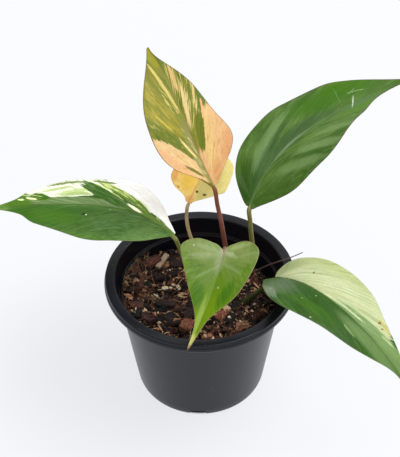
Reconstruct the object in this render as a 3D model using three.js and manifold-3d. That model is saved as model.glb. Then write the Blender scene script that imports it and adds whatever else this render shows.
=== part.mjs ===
// A young philodendron with marbled leaves in a round nursery pot, at its real size.
// Millimetres, +Z up. The origin is the middle of the pot's flat underside, and the
// side that faces -Y is the front.

import * as THREE from 'three';
import { mergeVertices } from 'three/addons/utils/BufferGeometryUtils.js';
import Module from 'manifold-3d';

// Driving sizes
const POT_HEIGHT = 90;
const RIM_RADIUS = 60;
const MOUTH_RADIUS = 54;
const BASE_RADIUS = 43;
const WALL = 1.2;
const LIP_DEPTH = 4.8;
const LEDGE_DEPTH = 14;
const FOOT_ROUND = 6;
const SOIL_LEVEL = 68;
const BLADE_EDGE = 0.8;
const BLADE_RIB = 1.6;
const PETIOLE_TOP = 1.4;
const GAP = 0.3;

// Fineness of the facets
const POT_SEGMENTS = 56;
const MIX_SEGMENTS = 28;
const BLADE_ROWS = 18;
const BLADE_COLUMNS = 5;
const EPSILON = 1e-3;

const TURN = 2 * Math.PI;
const degrees = THREE.MathUtils.degToRad;
const wasm = await Module();
wasm.setup();

// Solids

/** A closed geometry as a solid, with its faces turned outwards. */
function solid(geometry) {
  const bare = geometry.clone();
  bare.deleteAttribute('normal');
  bare.deleteAttribute('uv');
  const merged = mergeVertices(bare, EPSILON);
  const vertProperties = Float32Array.from(merged.attributes.position.array);
  const triangles = [];
  let volume = 0;
  for (let i = 0; i < merged.index.count; i += 3) {
    const [a, b, c] = [0, 1, 2].map((k) => merged.index.getX(i + k));
    if (a === b || b === c || c === a) continue;
    const [p, q, r] = [a, b, c].map((k) => new THREE.Vector3().fromArray(vertProperties, 3 * k));
    volume += p.dot(q.cross(r));
    triangles.push([a, b, c]);
  }
  const outward = volume > 0 ? triangles : triangles.map(([a, b, c]) => [a, c, b]);
  const triVerts = Uint32Array.from(outward.flat());
  return new wasm.Manifold(new wasm.Mesh({ numProp: 3, vertProperties, triVerts }));
}

/** The largest connected piece of a solid, so that no loose scrap of a cut stays. */
function largest(body) {
  return body.decompose().reduce((a, b) => (b.volume() > a.volume() ? b : a));
}

/** A named mesh of a solid, with the colour, roughness and metalness of its material. */
function piece(name, body, color, roughness, metalness = 0) {
  const { vertProperties, triVerts } = body.getMesh();
  const geometry = new THREE.BufferGeometry();
  geometry.setAttribute('position', new THREE.BufferAttribute(vertProperties, 3));
  geometry.setIndex(new THREE.BufferAttribute(triVerts, 1));
  geometry.computeVertexNormals();
  const mesh = new THREE.Mesh(
    geometry, new THREE.MeshStandardMaterial({ color, roughness, metalness }));
  mesh.name = name;
  return mesh;
}

/**
 * A closed skin over a row of rings with an even number of points each. The first half of
 * a ring is its upper side and the second half its lower side, seen from the other way, so
 * both sides are split into triangles alike. Each end is closed by a ladder between them.
 */
function skin(rings) {
  const count = rings[0].length;
  const half = count / 2;
  const index = [];
  for (let ring = 0; ring < rings.length - 1; ring += 1) {
    for (let i = 0; i < count; i += 1) {
      const a = ring * count + i;
      const b = ring * count + (i + 1) % count;
      const [c, d] = [b + count, a + count];
      index.push(...(i < half ? [a, b, c, a, c, d] : [a, b, d, b, c, d]));
    }
  }
  const last = (rings.length - 1) * count;
  for (let i = 0; i < half - 1; i += 1) {
    const [a, b, c, d] = [i, i + 1, count - 2 - i, count - 1 - i];
    index.push(a, c, b, a, d, c);
    index.push(last + a, last + b, last + c, last + a, last + c, last + d);
  }
  const geometry = new THREE.BufferGeometry();
  const points = rings.flat().flatMap((point) => point.toArray());
  geometry.setAttribute('position', new THREE.Float32BufferAttribute(points, 3));
  geometry.setIndex(index);
  return solid(geometry);
}

/**
 * A round stalk along a smooth curve through hand-placed points. Its radius runs from foot
 * to top, wide at the foot, and flatness narrows it across its width. The steps are closer
 * together towards the top, where a petiole bends into its blade.
 */
function stalk({ points, foot, top, flatness = 1, sides = 8, steps = 12 }, grow = 0) {
  const curve = new THREE.CatmullRomCurve3(points.map((p) => new THREE.Vector3(...p)));
  const rings = [];
  for (let step = 0; step <= steps; step += 1) {
    const u = 1 - (1 - step / steps) ** 1.6;
    const centre = curve.getPointAt(u);
    const along = curve.getTangentAt(u);
    const across = new THREE.Vector3(1, 0, 0).addScaledVector(along, -along.x).normalize();
    const up = along.clone().cross(across);
    const radius = top + (foot - top) * (1 - u) ** 2;
    const ring = [];
    for (let side = 0; side < sides; side += 1) {
      const angle = (side + 0.5) / sides * TURN;
      ring.push(centre.clone()
        .addScaledVector(across, (radius + grow) * Math.cos(angle))
        .addScaledVector(up, (radius * flatness + grow) * Math.sin(angle)));
    }
    rings.push(ring);
  }
  return skin(rings);
}

// The pot: thin black plastic, moulded in one piece. A flat lip turns down at the rim, a
// collar falls to a small ledge inside, and the tapered wall ends in a rounded foot with
// four drain slots.

const LEDGE_HEIGHT = POT_HEIGHT - LEDGE_DEPTH;
const LEDGE_RADIUS = MOUTH_RADIUS - 2;
const FLOOR_RADIUS = BASE_RADIUS - FOOT_ROUND;
const FLOOR_THICKNESS = 1.4;

/** The radius of the pot's inside at a height, below the ledge. */
function insideRadius(z) {
  const share = Math.max(0, z - FOOT_ROUND) / (LEDGE_HEIGHT - FOOT_ROUND);
  return THREE.MathUtils.lerp(BASE_RADIUS - WALL, LEDGE_RADIUS - 1, share);
}

/** A path of [radius, height] turned about the upright axis. */
function lathe(path, curvePoints, segments) {
  const geometry = new THREE.LatheGeometry(path.getPoints(curvePoints), segments);
  geometry.rotateX(Math.PI / 2);
  return geometry;
}

/** The profile of the pot's inside up to a height, made smaller all round by GAP. */
function cavity(height) {
  const path = new THREE.Path();
  path.moveTo(0, FLOOR_THICKNESS + GAP);
  path.lineTo(FLOOR_RADIUS - WALL, FLOOR_THICKNESS + GAP);
  path.quadraticCurveTo(
    insideRadius(0) - GAP, FLOOR_THICKNESS + GAP, insideRadius(FOOT_ROUND) - GAP, FOOT_ROUND + GAP);
  path.lineTo(insideRadius(height) - GAP, height);
  path.lineTo(0, height);
  return path;
}

function pot() {
  const path = new THREE.Path();
  path.moveTo(0, 0);
  path.lineTo(FLOOR_RADIUS, 0);
  path.quadraticCurveTo(BASE_RADIUS - 0.6, 0, BASE_RADIUS, FOOT_ROUND);
  path.lineTo(LEDGE_RADIUS - 1 + WALL, LEDGE_HEIGHT - WALL);
  path.lineTo(LEDGE_RADIUS + WALL, LEDGE_HEIGHT);
  path.lineTo(MOUTH_RADIUS + WALL, POT_HEIGHT - 2.2);
  path.lineTo(RIM_RADIUS - WALL, POT_HEIGHT - WALL - 0.2);
  path.lineTo(RIM_RADIUS - 0.1, POT_HEIGHT - LIP_DEPTH);
  path.lineTo(RIM_RADIUS + 1, POT_HEIGHT - LIP_DEPTH);
  path.lineTo(RIM_RADIUS + 0.2, POT_HEIGHT - 0.7);
  path.quadraticCurveTo(RIM_RADIUS, POT_HEIGHT, RIM_RADIUS - 0.8, POT_HEIGHT);
  path.lineTo(MOUTH_RADIUS + 0.7, POT_HEIGHT - 0.7);
  path.quadraticCurveTo(MOUTH_RADIUS, POT_HEIGHT - 0.8, MOUTH_RADIUS - 0.1, POT_HEIGHT - 1.8);
  path.lineTo(LEDGE_RADIUS, LEDGE_HEIGHT + 0.5);
  path.lineTo(LEDGE_RADIUS - 1, LEDGE_HEIGHT);
  path.lineTo(insideRadius(FOOT_ROUND), FOOT_ROUND);
  path.quadraticCurveTo(
    insideRadius(0), FLOOR_THICKNESS, FLOOR_RADIUS - WALL, FLOOR_THICKNESS);
  path.lineTo(0, FLOOR_THICKNESS);
  let body = solid(lathe(path, 3, POT_SEGMENTS));

  const slots = 4;
  const [slotWidth, slotHeight, slotLength] = [11, 2.4, 8];
  for (let slot = 0; slot < slots; slot += 1) {
    const box = new THREE.BoxGeometry(slotLength, slotWidth, 2 * slotHeight);
    box.translate(BASE_RADIUS - 4.5 + slotLength / 2, 0, 0);
    box.rotateZ(degrees(-93) + slot / slots * TURN);
    body = body.subtract(solid(box));
  }
  return body;
}

// The plant's routes and leaves. Each leaf stands on a petiole of its own, and each petiole
// springs from the one short stem. Petiole points run from inside the stem to the neck
// under the blade.

const STEM = {
  points: [[16, 2.5, 50], [18, 1.5, 62], [20.5, 0.8, 72], [22.5, 0.3, 80], [22.9, 0.2, 83]],
  foot: 5, top: 3.6, sides: 10, steps: 8,
};

const AERIAL_ROOT = {
  points: [[21.5, 2, 76], [28, 9.5, 78.5], [37.5, 12, 81.5], [51.2, 9.5, 91.3], [58.9, 11.9, 93.2],
    [66, 15.5, 93.5]],
  foot: 1.5, top: 0.45, sides: 6, steps: 14,
};

/**
 * The leaves. base is where the blade joins its petiole. azimuth, pitch, roll and fold are
 * degrees at the base, the middle and the tip: the midrib's heading from +X, its rise, the
 * blade's turn about it, and the lift of both halves. An outline holds [across, along]
 * points of one half from the base to the tip, with the lobes behind the base below zero.
 */
const LEAVES = {
  heart: {
    color: 0x7f9d4b,
    base: [14.5, -12, 122.5], length: 66,
    azimuth: [-103, -111, -121], pitch: [-15, -22, -30], roll: [-4, -5, 2], fold: [17, 21, 12],
    right: [[5, -3], [17.5, -4], [26, 3.5], [19.5, 20], [13.5, 31.5], [3.5, 48.5]],
    left: [[3, -3.5], [14, -6], [23, 2], [19.5, 22], [14, 33.5], [4, 47.5]],
    wave: [0.5, 2, 0],
    petiole: [[20.5, 0, 76], [20.6, -1.2, 84], [20, -2, 95], [17.6, -3.6, 110]],
    foot: 2.1,
  },
  tall: {
    color: 0xb3a45c,
    base: [9, 12.5, 152.5], length: 95,
    azimuth: [132, 118, 130], pitch: [46, 38, 27], roll: [-4, 3, 4], fold: [14, 9, 13],
    right: [[10.5, 7], [20.5, 17], [24, 27.5], [19, 43], [12.5, 64.5], [1.5, 86.5]],
    left: [[9, 8.5], [20.5, 18], [25.5, 31], [24.5, 51], [16.5, 71], [3, 92]],
    wave: [0.7, 2.5, 1],
    petiole: [[20, 2, 74], [18.5, 6, 89.3], [15.9, 8, 107], [13.1, 10, 126.2], [10.9, 11.5, 138.1]],
    foot: 2.2,
  },
  left: {
    color: 0x5f8a4a,
    base: [-16.5, 5.5, 119], length: 122,
    azimuth: [140, 172, 181], pitch: [17, -2, -2], roll: [-9, 4, 9], fold: [10, 6, 12],
    right: [[7.5, 8.5], [18, 22.5], [25.5, 41], [21.5, 56.5], [14, 92], [5, 106.5]],
    left: [[13.5, 4.5], [25.5, 14], [34.5, 39], [29, 64], [17.5, 91.5], [6.5, 104]],
    wave: [0.8, 3, 2],
    petiole: [[16.5, 2.5, 58], [9.5, 5, 60], [3.1, 5.5, 70], [-3.3, 5.5, 81], [-9.5, 5.5, 95.5],
      [-12.5, 5.4, 107]],
    foot: 2.2,
  },
  yellow: {
    color: 0xe6cf6a,
    base: [-7, 20, 133], length: 44,
    azimuth: [56, 63, 76], pitch: [38, 27, 18], roll: [-2, 0, -1], fold: [11, 10, 14],
    right: [[3.5, 2], [17, 11], [20.5, 14.5], [19, 27.5], [11, 34.5], [3.5, 40]],
    left: [[5, 3], [13.5, 6.5], [18, 13], [16, 25], [11.5, 34], [3.5, 40]],
    wave: [0.5, 2, 0],
    petiole: [[18, 2, 62], [12.5, 6, 63], [9.6, 8, 69.1], [5.8, 10, 78.3], [0.6, 13, 91.6],
      [-4.9, 16, 106.5], [-8.6, 18, 115.8]],
    foot: 2,
  },
  right_top: {
    color: 0x3f7a35,
    base: [30.5, 10, 138], length: 134,
    azimuth: [66, 31, 9], pitch: [39, 17, 21], roll: [0, 4, -4], fold: [11, 9, 16],
    right: [[4, 0], [23.5, 17.5], [31.5, 44], [27, 71.5], [15.5, 96], [4, 113]],
    left: [[6, 3.5], [19.5, 20], [26, 40], [26, 80], [17, 102], [4.5, 126]],
    wave: [0.9, 3, 1],
    petiole: [[21.5, 0.5, 76], [28.1, 2.5, 82], [32.3, 4.5, 91], [35, 6.3, 99], [34.2, 7.8, 107],
      [32.6, 8.8, 116], [31.5, 9.5, 126.5]],
    foot: 2.2,
  },
  right_low: {
    color: 0x8fae63,
    base: [46.5, -6, 92.5], length: 117,
    azimuth: [-47, -46, -38], pitch: [41, -10, -49], roll: [-1, -4, -3], fold: [15, 11, 16],
    right: [[3.5, -4.5], [19, 12], [28, 32.5], [21, 61], [16, 82], [4.5, 103]],
    left: [[7, -2], [14.5, 4], [22, 28], [20, 60], [13, 82.5], [5.5, 105]],
    wave: [0.6, 2.5, 1],
    petiole: [[18, 0, 61], [21.5, -4, 61], [25.6, -5.5, 66.3], [31.9, -5.2, 73.2],
      [39.3, -5.3, 81.5]],
    foot: 3.4, flatness: 0.8,
  },
};

/** The quadratic through a value at the base, the middle and the tip. */
function alongLeaf([base, middle, tip], u) {
  return base * (1 - u) * (1 - 2 * u) + middle * 4 * u * (1 - u) + tip * u * (2 * u - 1);
}

/** The midrib's heading, the blade's sideways axis and its upper normal at a share u. */
function axesAt(leaf, u) {
  const azimuth = degrees(alongLeaf(leaf.azimuth, u));
  const pitch = degrees(alongLeaf(leaf.pitch, u));
  const roll = degrees(alongLeaf(leaf.roll, u));
  const along = new THREE.Vector3(
    Math.cos(pitch) * Math.cos(azimuth), Math.cos(pitch) * Math.sin(azimuth), Math.sin(pitch));
  const across = new THREE.Vector3(Math.sin(azimuth), -Math.cos(azimuth), 0);
  const normal = across.clone().cross(along);
  const rolledNormal = normal.clone().multiplyScalar(Math.cos(roll))
    .addScaledVector(across, -Math.sin(roll));
  across.multiplyScalar(Math.cos(roll)).addScaledVector(normal, Math.sin(roll));
  return { along, across, normal: rolledNormal };
}

/** The midrib, walked from the base in short steps along its turning heading. */
function midrib(leaf) {
  const steps = 80;
  const points = [new THREE.Vector3(...leaf.base)];
  for (let step = 0; step < steps; step += 1) {
    const { along } = axesAt(leaf, (step + 0.5) / steps);
    points.push(points[step].clone().addScaledVector(along, leaf.length / steps));
  }
  return (y) => {
    const place = THREE.MathUtils.clamp(y / leaf.length, 0, 1) * steps;
    const step = Math.min(Math.floor(place), steps - 1);
    const point = points[step].clone().lerp(points[step + 1], place - step);
    return point.addScaledVector(axesAt(leaf, 0).along, Math.min(y, 0));
  };
}

/**
 * A blade as rings across it, from the base to the tip. A row starts on the midrib and ends
 * on the outline, its halves lift by the fold, and the margin waves up and down. The lower
 * side lies under the upper one by the blade's thickness, which grows to a rib in the middle.
 */
function blade(leaf) {
  const [baseHalf, tipHalf] = [PETIOLE_TOP + 0.6, 0.6];
  const rib = midrib(leaf);
  const outlines = [leaf.left, leaf.right].map((points) => new THREE.SplineCurve(
    [[baseHalf, 0], ...points, [tipHalf, leaf.length]].map((p) => new THREE.Vector2(...p))));
  const [waveHeight, waveCount, wavePhase] = leaf.wave;
  const rings = [];
  for (let row = 0; row <= BLADE_ROWS; row += 1) {
    const s = row / BLADE_ROWS;
    const start = leaf.length * s ** 1.4;
    const upper = [];
    const lower = [];
    for (let column = -BLADE_COLUMNS; column <= BLADE_COLUMNS; column += 1) {
      const t = Math.abs(column) / BLADE_COLUMNS;
      const side = Math.sign(column);
      const end = outlines[column < 0 ? 0 : 1].getPointAt(s);
      const x = end.x * t;
      const y = start + (end.y - start) * t;
      const u = THREE.MathUtils.clamp(y / leaf.length, 0, 1);
      const { across, normal } = axesAt(leaf, u);
      const fold = degrees(alongLeaf(leaf.fold, u));
      const wave = waveHeight * Math.sin(waveCount * TURN * s + wavePhase + side) * t * t
        * Math.sin(Math.PI * s);
      const top = rib(y)
        .addScaledVector(across, side * x * Math.cos(fold))
        .addScaledVector(normal, x * Math.sin(fold) + wave);
      const thickness = BLADE_EDGE + BLADE_RIB * (1 - 0.8 * s) * (1 - t) ** 3;
      upper.push(top);
      lower.unshift(top.clone().addScaledVector(normal, -thickness));
    }
    rings.push([...upper, ...lower]);
  }
  return skin(rings);
}

/** A petiole's whole route: its own points, then the bend into the line of the midrib. */
function petioleRoute(leaf) {
  const { along, normal } = axesAt(leaf, 0);
  const neck = (distance) => new THREE.Vector3(...leaf.base)
    .addScaledVector(along, -distance)
    .addScaledVector(normal, -PETIOLE_TOP)
    .toArray();
  return {
    points: [...leaf.petiole, neck(2), neck(GAP)],
    foot: leaf.foot, top: PETIOLE_TOP, flatness: leaf.flatness,
  };
}

// The potting mix: coco husk, bark and perlite, heaped higher at the left. Its crumbs and
// chips are fused with the bed, and each stalk stands in a plain hole.

/** The height of the mix at a place, without its chips. */
function bedHeight(x, y) {
  const { smoothstep } = THREE.MathUtils;
  const heap = 6.5 * smoothstep(-x, 15, 50) - 3 * smoothstep(x + y, 20, 70);
  const ripple = 0.9 * Math.sin(0.21 * x + 0.4) * Math.cos(0.17 * y) + 0.6 * Math.sin(0.43 * x - 0.37 * y);
  return SOIL_LEVEL + heap + ripple;
}

/** The mix without its chips: it fills the pot, and its top follows bedHeight. */
function bed() {
  const path = cavity(SOIL_LEVEL);
  const rings = 7;
  const edge = insideRadius(SOIL_LEVEL) - GAP;
  const profile = path.getPoints(2).slice(0, -1);
  for (let ring = rings - 1; ring >= 0; ring -= 1) {
    profile.push(new THREE.Vector2(edge * ring / rings, SOIL_LEVEL));
  }
  const geometry = new THREE.LatheGeometry(profile, MIX_SEGMENTS);
  geometry.rotateX(Math.PI / 2);
  const { position } = geometry.attributes;
  for (let i = 0; i < position.count; i += 1) {
    const point = new THREE.Vector3().fromBufferAttribute(position, i);
    if (point.z > SOIL_LEVEL - EPSILON) {
      const height = bedHeight(point.x, point.y);
      const reach = Math.hypot(point.x, point.y) / edge;
      const scale = 1 + reach * ((insideRadius(height) - GAP) / edge - 1);
      position.setXYZ(i, point.x * scale, point.y * scale, height);
    }
  }
  return solid(geometry);
}

/** Random numbers from 0 to 1, the same on every run. */
function seededRandom(seed) {
  let state = seed;
  return () => {
    state = (state * 1664525 + 1013904223) % 4294967296;
    return state / 4294967296;
  };
}

/** A chip: a box with uneven corners, tipped and turned, half sunk in the mix. */
function chip(random, [length, width, height], [x, y], turn) {
  const geometry = new THREE.BoxGeometry(length, width, height);
  const { position } = geometry.attributes;
  const corners = {};
  for (let i = 0; i < position.count; i += 1) {
    const key = [position.getX(i), position.getY(i), position.getZ(i)].map(Math.sign).join();
    corners[key] ??= [0, 0, 0].map(() => 0.8 + 0.35 * random());
    const [i0, i1, i2] = corners[key];
    position.setXYZ(i, position.getX(i) * i0, position.getY(i) * i1, position.getZ(i) * i2);
  }
  geometry.rotateX(degrees(30 * (random() - 0.5)));
  geometry.rotateY(degrees(30 * (random() - 0.5)));
  geometry.rotateZ(turn);
  geometry.translate(x, y, bedHeight(x, y) + 0.15 * height);
  return solid(geometry);
}

/** A grain of perlite, sunk by about a third. */
function grain(random, [x, y]) {
  const radius = 1.1 + 0.7 * random();
  const geometry = new THREE.IcosahedronGeometry(radius, 0);
  geometry.rotateZ(random() * TURN);
  geometry.translate(x, y, bedHeight(x, y) + 0.4 * radius);
  return solid(geometry);
}

function pottingMix(stalks) {
  const random = seededRandom(7);
  let mix = bed();
  const chips = 38;
  const goldenTurn = degrees(137.5);
  for (let i = 0; i < chips; i += 1) {
    const reach = 43 * Math.sqrt((i + 0.5) / chips);
    const place = [reach * Math.cos(i * goldenTurn), reach * Math.sin(i * goldenTurn)];
    const size = [5 + 7 * random(), 3 + 3 * random(), 2.4 + 2 * random()];
    mix = mix.add(chip(random, size, place, random() * TURN));
  }
  const stick = { size: [14, 4.6, 3], place: [-26.5, 31], turn: degrees(52) };
  mix = mix.add(chip(random, stick.size, stick.place, stick.turn));
  const grains = 12;
  for (let i = 0; i < grains; i += 1) {
    const reach = 41 * Math.sqrt((i + 0.5) / grains);
    const angle = i * goldenTurn + 1;
    mix = mix.add(grain(random, [reach * Math.cos(angle), reach * Math.sin(angle)]));
  }
  mix = mix.intersect(solid(lathe(cavity(POT_HEIGHT), 2, MIX_SEGMENTS)));
  for (const each of stalks) mix = mix.subtract(stalk(each, GAP));
  return largest(mix);
}

// Assembly

const philodendron = new THREE.Group();
philodendron.add(piece('pot', pot(), 0x2b2d30, 0.45));

const routes = Object.fromEntries(
  Object.entries(LEAVES).map(([name, leaf]) => [name, petioleRoute(leaf)]));
philodendron.add(piece(
  'potting_mix', pottingMix([STEM, ...Object.values(routes)]), 0x4a3023, 0.95));
philodendron.add(piece('stem', stalk(STEM), 0x6d5a34, 0.6));

const placed = [STEM];
for (const [name, leaf] of Object.entries(LEAVES)) {
  let petiole = stalk(routes[name]);
  for (const other of placed) petiole = petiole.subtract(stalk(other, GAP));
  philodendron.add(piece(`petiole_${name}`, largest(petiole), 0x8a7a45, 0.5));
  philodendron.add(piece(`blade_${name}`, blade(leaf), leaf.color, 0.45));
  placed.push(routes[name]);
}

let root = stalk(AERIAL_ROOT);
for (const other of placed) root = root.subtract(stalk(other, GAP));
philodendron.add(piece('aerial_root', largest(root), 0x4b3226, 0.8));

export default philodendron;
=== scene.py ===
import bpy
import numpy as np
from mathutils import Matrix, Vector


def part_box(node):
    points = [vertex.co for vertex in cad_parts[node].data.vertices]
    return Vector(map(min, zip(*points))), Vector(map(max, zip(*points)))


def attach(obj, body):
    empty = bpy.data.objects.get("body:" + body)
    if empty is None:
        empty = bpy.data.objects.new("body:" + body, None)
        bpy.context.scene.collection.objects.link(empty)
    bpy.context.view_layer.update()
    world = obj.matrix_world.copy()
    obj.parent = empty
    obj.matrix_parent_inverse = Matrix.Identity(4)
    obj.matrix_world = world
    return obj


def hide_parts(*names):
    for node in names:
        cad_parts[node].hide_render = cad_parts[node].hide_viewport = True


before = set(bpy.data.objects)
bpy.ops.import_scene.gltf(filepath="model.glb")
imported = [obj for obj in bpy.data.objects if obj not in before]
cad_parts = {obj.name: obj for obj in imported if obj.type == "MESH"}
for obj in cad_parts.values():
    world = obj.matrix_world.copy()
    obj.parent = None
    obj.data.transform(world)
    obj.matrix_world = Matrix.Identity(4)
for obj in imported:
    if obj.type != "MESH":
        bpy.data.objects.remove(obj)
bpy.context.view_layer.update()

# Nursery pot
# One thin moulding of satin black polypropylene: a tapered wall on a flat floor, a stacking
# ledge inside, a collar and a wide lip that turns down. Four slots drain the foot's corner.

MM = 0.001
POT_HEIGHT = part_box("pot")[1].z / MM
LIP_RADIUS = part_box("pot")[1].x / MM
RIM_RADIUS = LIP_RADIUS - 1
MOUTH_RADIUS = RIM_RADIUS - 6
LEDGE_RADIUS = MOUTH_RADIUS - 2
LEDGE_HEIGHT = POT_HEIGHT - 14
LIP_BOTTOM = POT_HEIGHT - 4.8
FOOT_RADIUS, INNER_FOOT = 42.4, 41.8
WALL, FLOOR = 1.2, 1.4
WALL_TOP = LEDGE_RADIUS - 1 + WALL
RING_HEIGHT = 9
RING_RADIUS = FOOT_RADIUS + (WALL_TOP - FOOT_RADIUS) * RING_HEIGHT / LEDGE_HEIGHT
POT_SIDES, POT_CREASE = 288, 32
SLOT_WIDTH, SLOT_HEIGHT, SLOT_AZIMUTH = 11, 6, -93
SLOT_INNER, SLOT_OUTER, SLOT_SIDES = 37, 46.5, 32
LIP_SHEEN = 0.083, 0.085


def srgb(red, green, blue):
    """A colour from its 0 to 255 screen values, as linear light."""
    value = np.array([red, green, blue]) / 255
    linear = np.where(value < 0.04045, value / 12.92, ((value + 0.055) / 1.055) ** 2.4)
    return (*linear.tolist(), 1.0)


class Signal:
    """A socket of a material's nodes. Sums and products written with it add Math nodes."""

    def __init__(self, tree, socket=None):
        self.tree = tree
        self.socket = socket

    def node(self, kind, settings=None, inputs=None, output=0):
        """Adds a node of a type: its settings come first, then its sockets' values or links."""
        made = self.tree.nodes.new("ShaderNode" + kind)
        for key, value in (settings or {}).items():
            if key == "stops":
                for _ in value[2:]:
                    made.color_ramp.elements.new(0.5)
                for element, (place, *colour) in zip(made.color_ramp.elements, value):
                    element.position, element.color = place, srgb(*colour)
            else:
                setattr(made, key, value)
        for key, value in (inputs or {}).items():
            if isinstance(value, Signal):
                self.tree.links.new(value.socket, made.inputs[key])
            else:
                made.inputs[key].default_value = value
        return Signal(self.tree, made.outputs[output])

    def math(self, operation, *others):
        return self.node("Math", {"operation": operation}, dict(enumerate((self, *others))))

    def __add__(self, other):
        return self.math("ADD", other)

    def __sub__(self, other):
        return self.math("SUBTRACT", other)

    def __rsub__(self, other):
        return self.math("MULTIPLY", -1).math("ADD", other)

    def __mul__(self, other):
        return self.math("MULTIPLY", other)

    def __pow__(self, other):
        return self.math("POWER", other)

    def __abs__(self):
        return self.math("ABSOLUTE")

    __radd__ = __add__
    __rmul__ = __mul__

    def step(self, low, high):
        """0 at low and 1 at high, smooth between them; low may be the larger one."""
        ends = {"Value": self, "From Min": low, "From Max": high}
        return self.node("MapRange", {"interpolation_type": "SMOOTHSTEP"}, ends)

    def mix(self, first, second):
        """The first colour where the signal is 0 and the second where it is 1. A colour is a
        signal, or its screen values."""
        ends = [end if isinstance(end, Signal) else srgb(*end) for end in (first, second)]
        return self.node("Mix", {"data_type": "RGBA"}, {0: self, 6: ends[0], 7: ends[1]}, 2)

    def vector(self, x, y, z):
        return self.node("CombineXYZ", None, {0: x, 1: y, 2: z})

    def noise(self, scale, detail=2.0):
        return self.node("TexNoise", None, {"Vector": self, "Scale": scale, "Detail": detail})

    def stretched(self, x, y, z):
        """The vector with its axes multiplied, so that a pattern on it is drawn out."""
        return self.node("VectorMath", {"operation": "MULTIPLY"}, {0: self, 1: (x, y, z)})

    def scaled(self, share):
        """The colour times a share."""
        return self.node("VectorMath", {"operation": "SCALE"}, {0: self, "Scale": share})

    def attribute(self, name, output="Fac"):
        return self.node("Attribute", {"attribute_name": name}, None, output)


def new_finish(name):
    """A material, and the place in metres over the object, from which its sums start."""
    made = bpy.data.materials.new(name)
    made.use_nodes = True
    return made, Signal(made.node_tree).node("TexCoord", output="Object")


def finish_with(made, colour, roughness, height, depth, gloss=0.5):
    """Sets the shader: its colour, its roughness, and a relief whose full height is depth mm."""
    shader = made.node_tree.nodes["Principled BSDF"]
    links = made.node_tree.links
    links.new(colour.socket, shader.inputs["Base Color"])
    links.new(roughness.socket, shader.inputs["Roughness"])
    bump = height.node("Bump", None, {"Height": height, "Distance": depth * MM, "Strength": 1.0})
    links.new(bump.socket, shader.inputs["Normal"])
    shader.inputs["Specular IOR Level"].default_value = gloss
    return made


def tube_faces(rows, around):
    """Faces of rows of points closed around, with a cap over the first and the last row."""
    start = np.arange(rows - 1)[:, None] * around
    side = np.arange(around)
    after = (side + 1) % around
    near, far = start + side, start + after
    quads = np.stack([near, far, far + around, near + around], -1)
    return [quads.reshape(-1, 4), side[None, ::-1], side[None] + (rows - 1) * around]


def new_object(name, data):
    """An object of the data, in the scene."""
    made = bpy.data.objects.new(name, data)
    bpy.context.scene.collection.objects.link(made)
    return made


def new_mesh(name, points, faces, finish, crease=None, **attributes):
    """An object from points in millimetres, groups of faces and values for each point."""
    mesh = bpy.data.meshes.new(name)
    places = np.asarray(points, float).reshape(-1, 3) * MM
    mesh.from_pydata(places.tolist(), [], [face for group in faces for face in group.tolist()])
    for key, values in attributes.items():
        vector = np.ndim(values) > 1 and np.shape(values)[-1] == 3
        layer = mesh.attributes.new(key, "FLOAT_VECTOR" if vector else "FLOAT", "POINT")
        layer.data.foreach_set("vector" if vector else "value", np.ravel(values).astype(np.float32))
    mesh.materials.append(finish)
    mesh.shade_smooth()
    if crease:
        mesh.set_sharp_from_angle(angle=np.radians(crease))
    return new_object(name, mesh)


def add_piece(name, points, finish, slot, replaced=(), faces=None, crease=None, **attributes):
    """A visible piece that rides on the object's body instead of its CAD nodes. Its slot is not
    used.
    Its points are rows closed around, unless it has faces of its own."""
    faces = faces or tube_faces(*points.shape[:2])
    piece = new_mesh(name, points, faces, finish, crease, **attributes)
    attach(piece, "root")
    if replaced:
        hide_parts(*replaced)
    return piece


def unit(vectors):
    """The vectors at a length of 1."""
    return vectors / np.linalg.norm(vectors, axis=-1, keepdims=True)


def circle(count, shift=0.0):
    """Angles evenly round a circle."""
    return (np.arange(count) + shift) / count * 2 * np.pi


def spun(a, b, angle):
    """Two coordinates turned by an angle in their own plane."""
    return a * np.cos(angle) - b * np.sin(angle), a * np.sin(angle) + b * np.cos(angle)


def squared_circle(angle, power):
    """The curve |a|^power + |b|^power = 1 at these angles."""
    return [np.sign(f(angle)) * np.abs(f(angle)) ** (2 / power) for f in (np.cos, np.sin)]


def rounded(corners, steps=5):
    """A profile with its corners rounded. Each corner is a radius, a height and a cut, and
    becomes a quadratic curve that starts and ends the cut away from it along its two sides."""
    corners = np.array(corners, float)
    places, cuts = corners[:, :2], corners[:, 2:]
    back, ahead = np.roll(places, 1, 0) - places, np.roll(places, -1, 0) - places
    start = places + unit(back) * cuts
    end = places + unit(ahead) * cuts
    t = np.linspace(0, 1, steps)[:, None, None]
    curve = (1 - t) ** 2 * start + 2 * t * (1 - t) * places + t**2 * end
    curve = curve.transpose(1, 0, 2).reshape(-1, 2)
    fresh = np.linalg.norm(np.diff(curve, axis=0, prepend=-1), axis=1) > 1e-6
    return curve[fresh]


def turned(profile, sides):
    """The points of a profile of radii and heights, turned about the upright axis."""
    angle = circle(sides)
    radius, height = np.asarray(profile).T[:, :, None]
    return np.stack([radius * np.cos(angle), radius * np.sin(angle), height + 0 * angle], -1)


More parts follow.
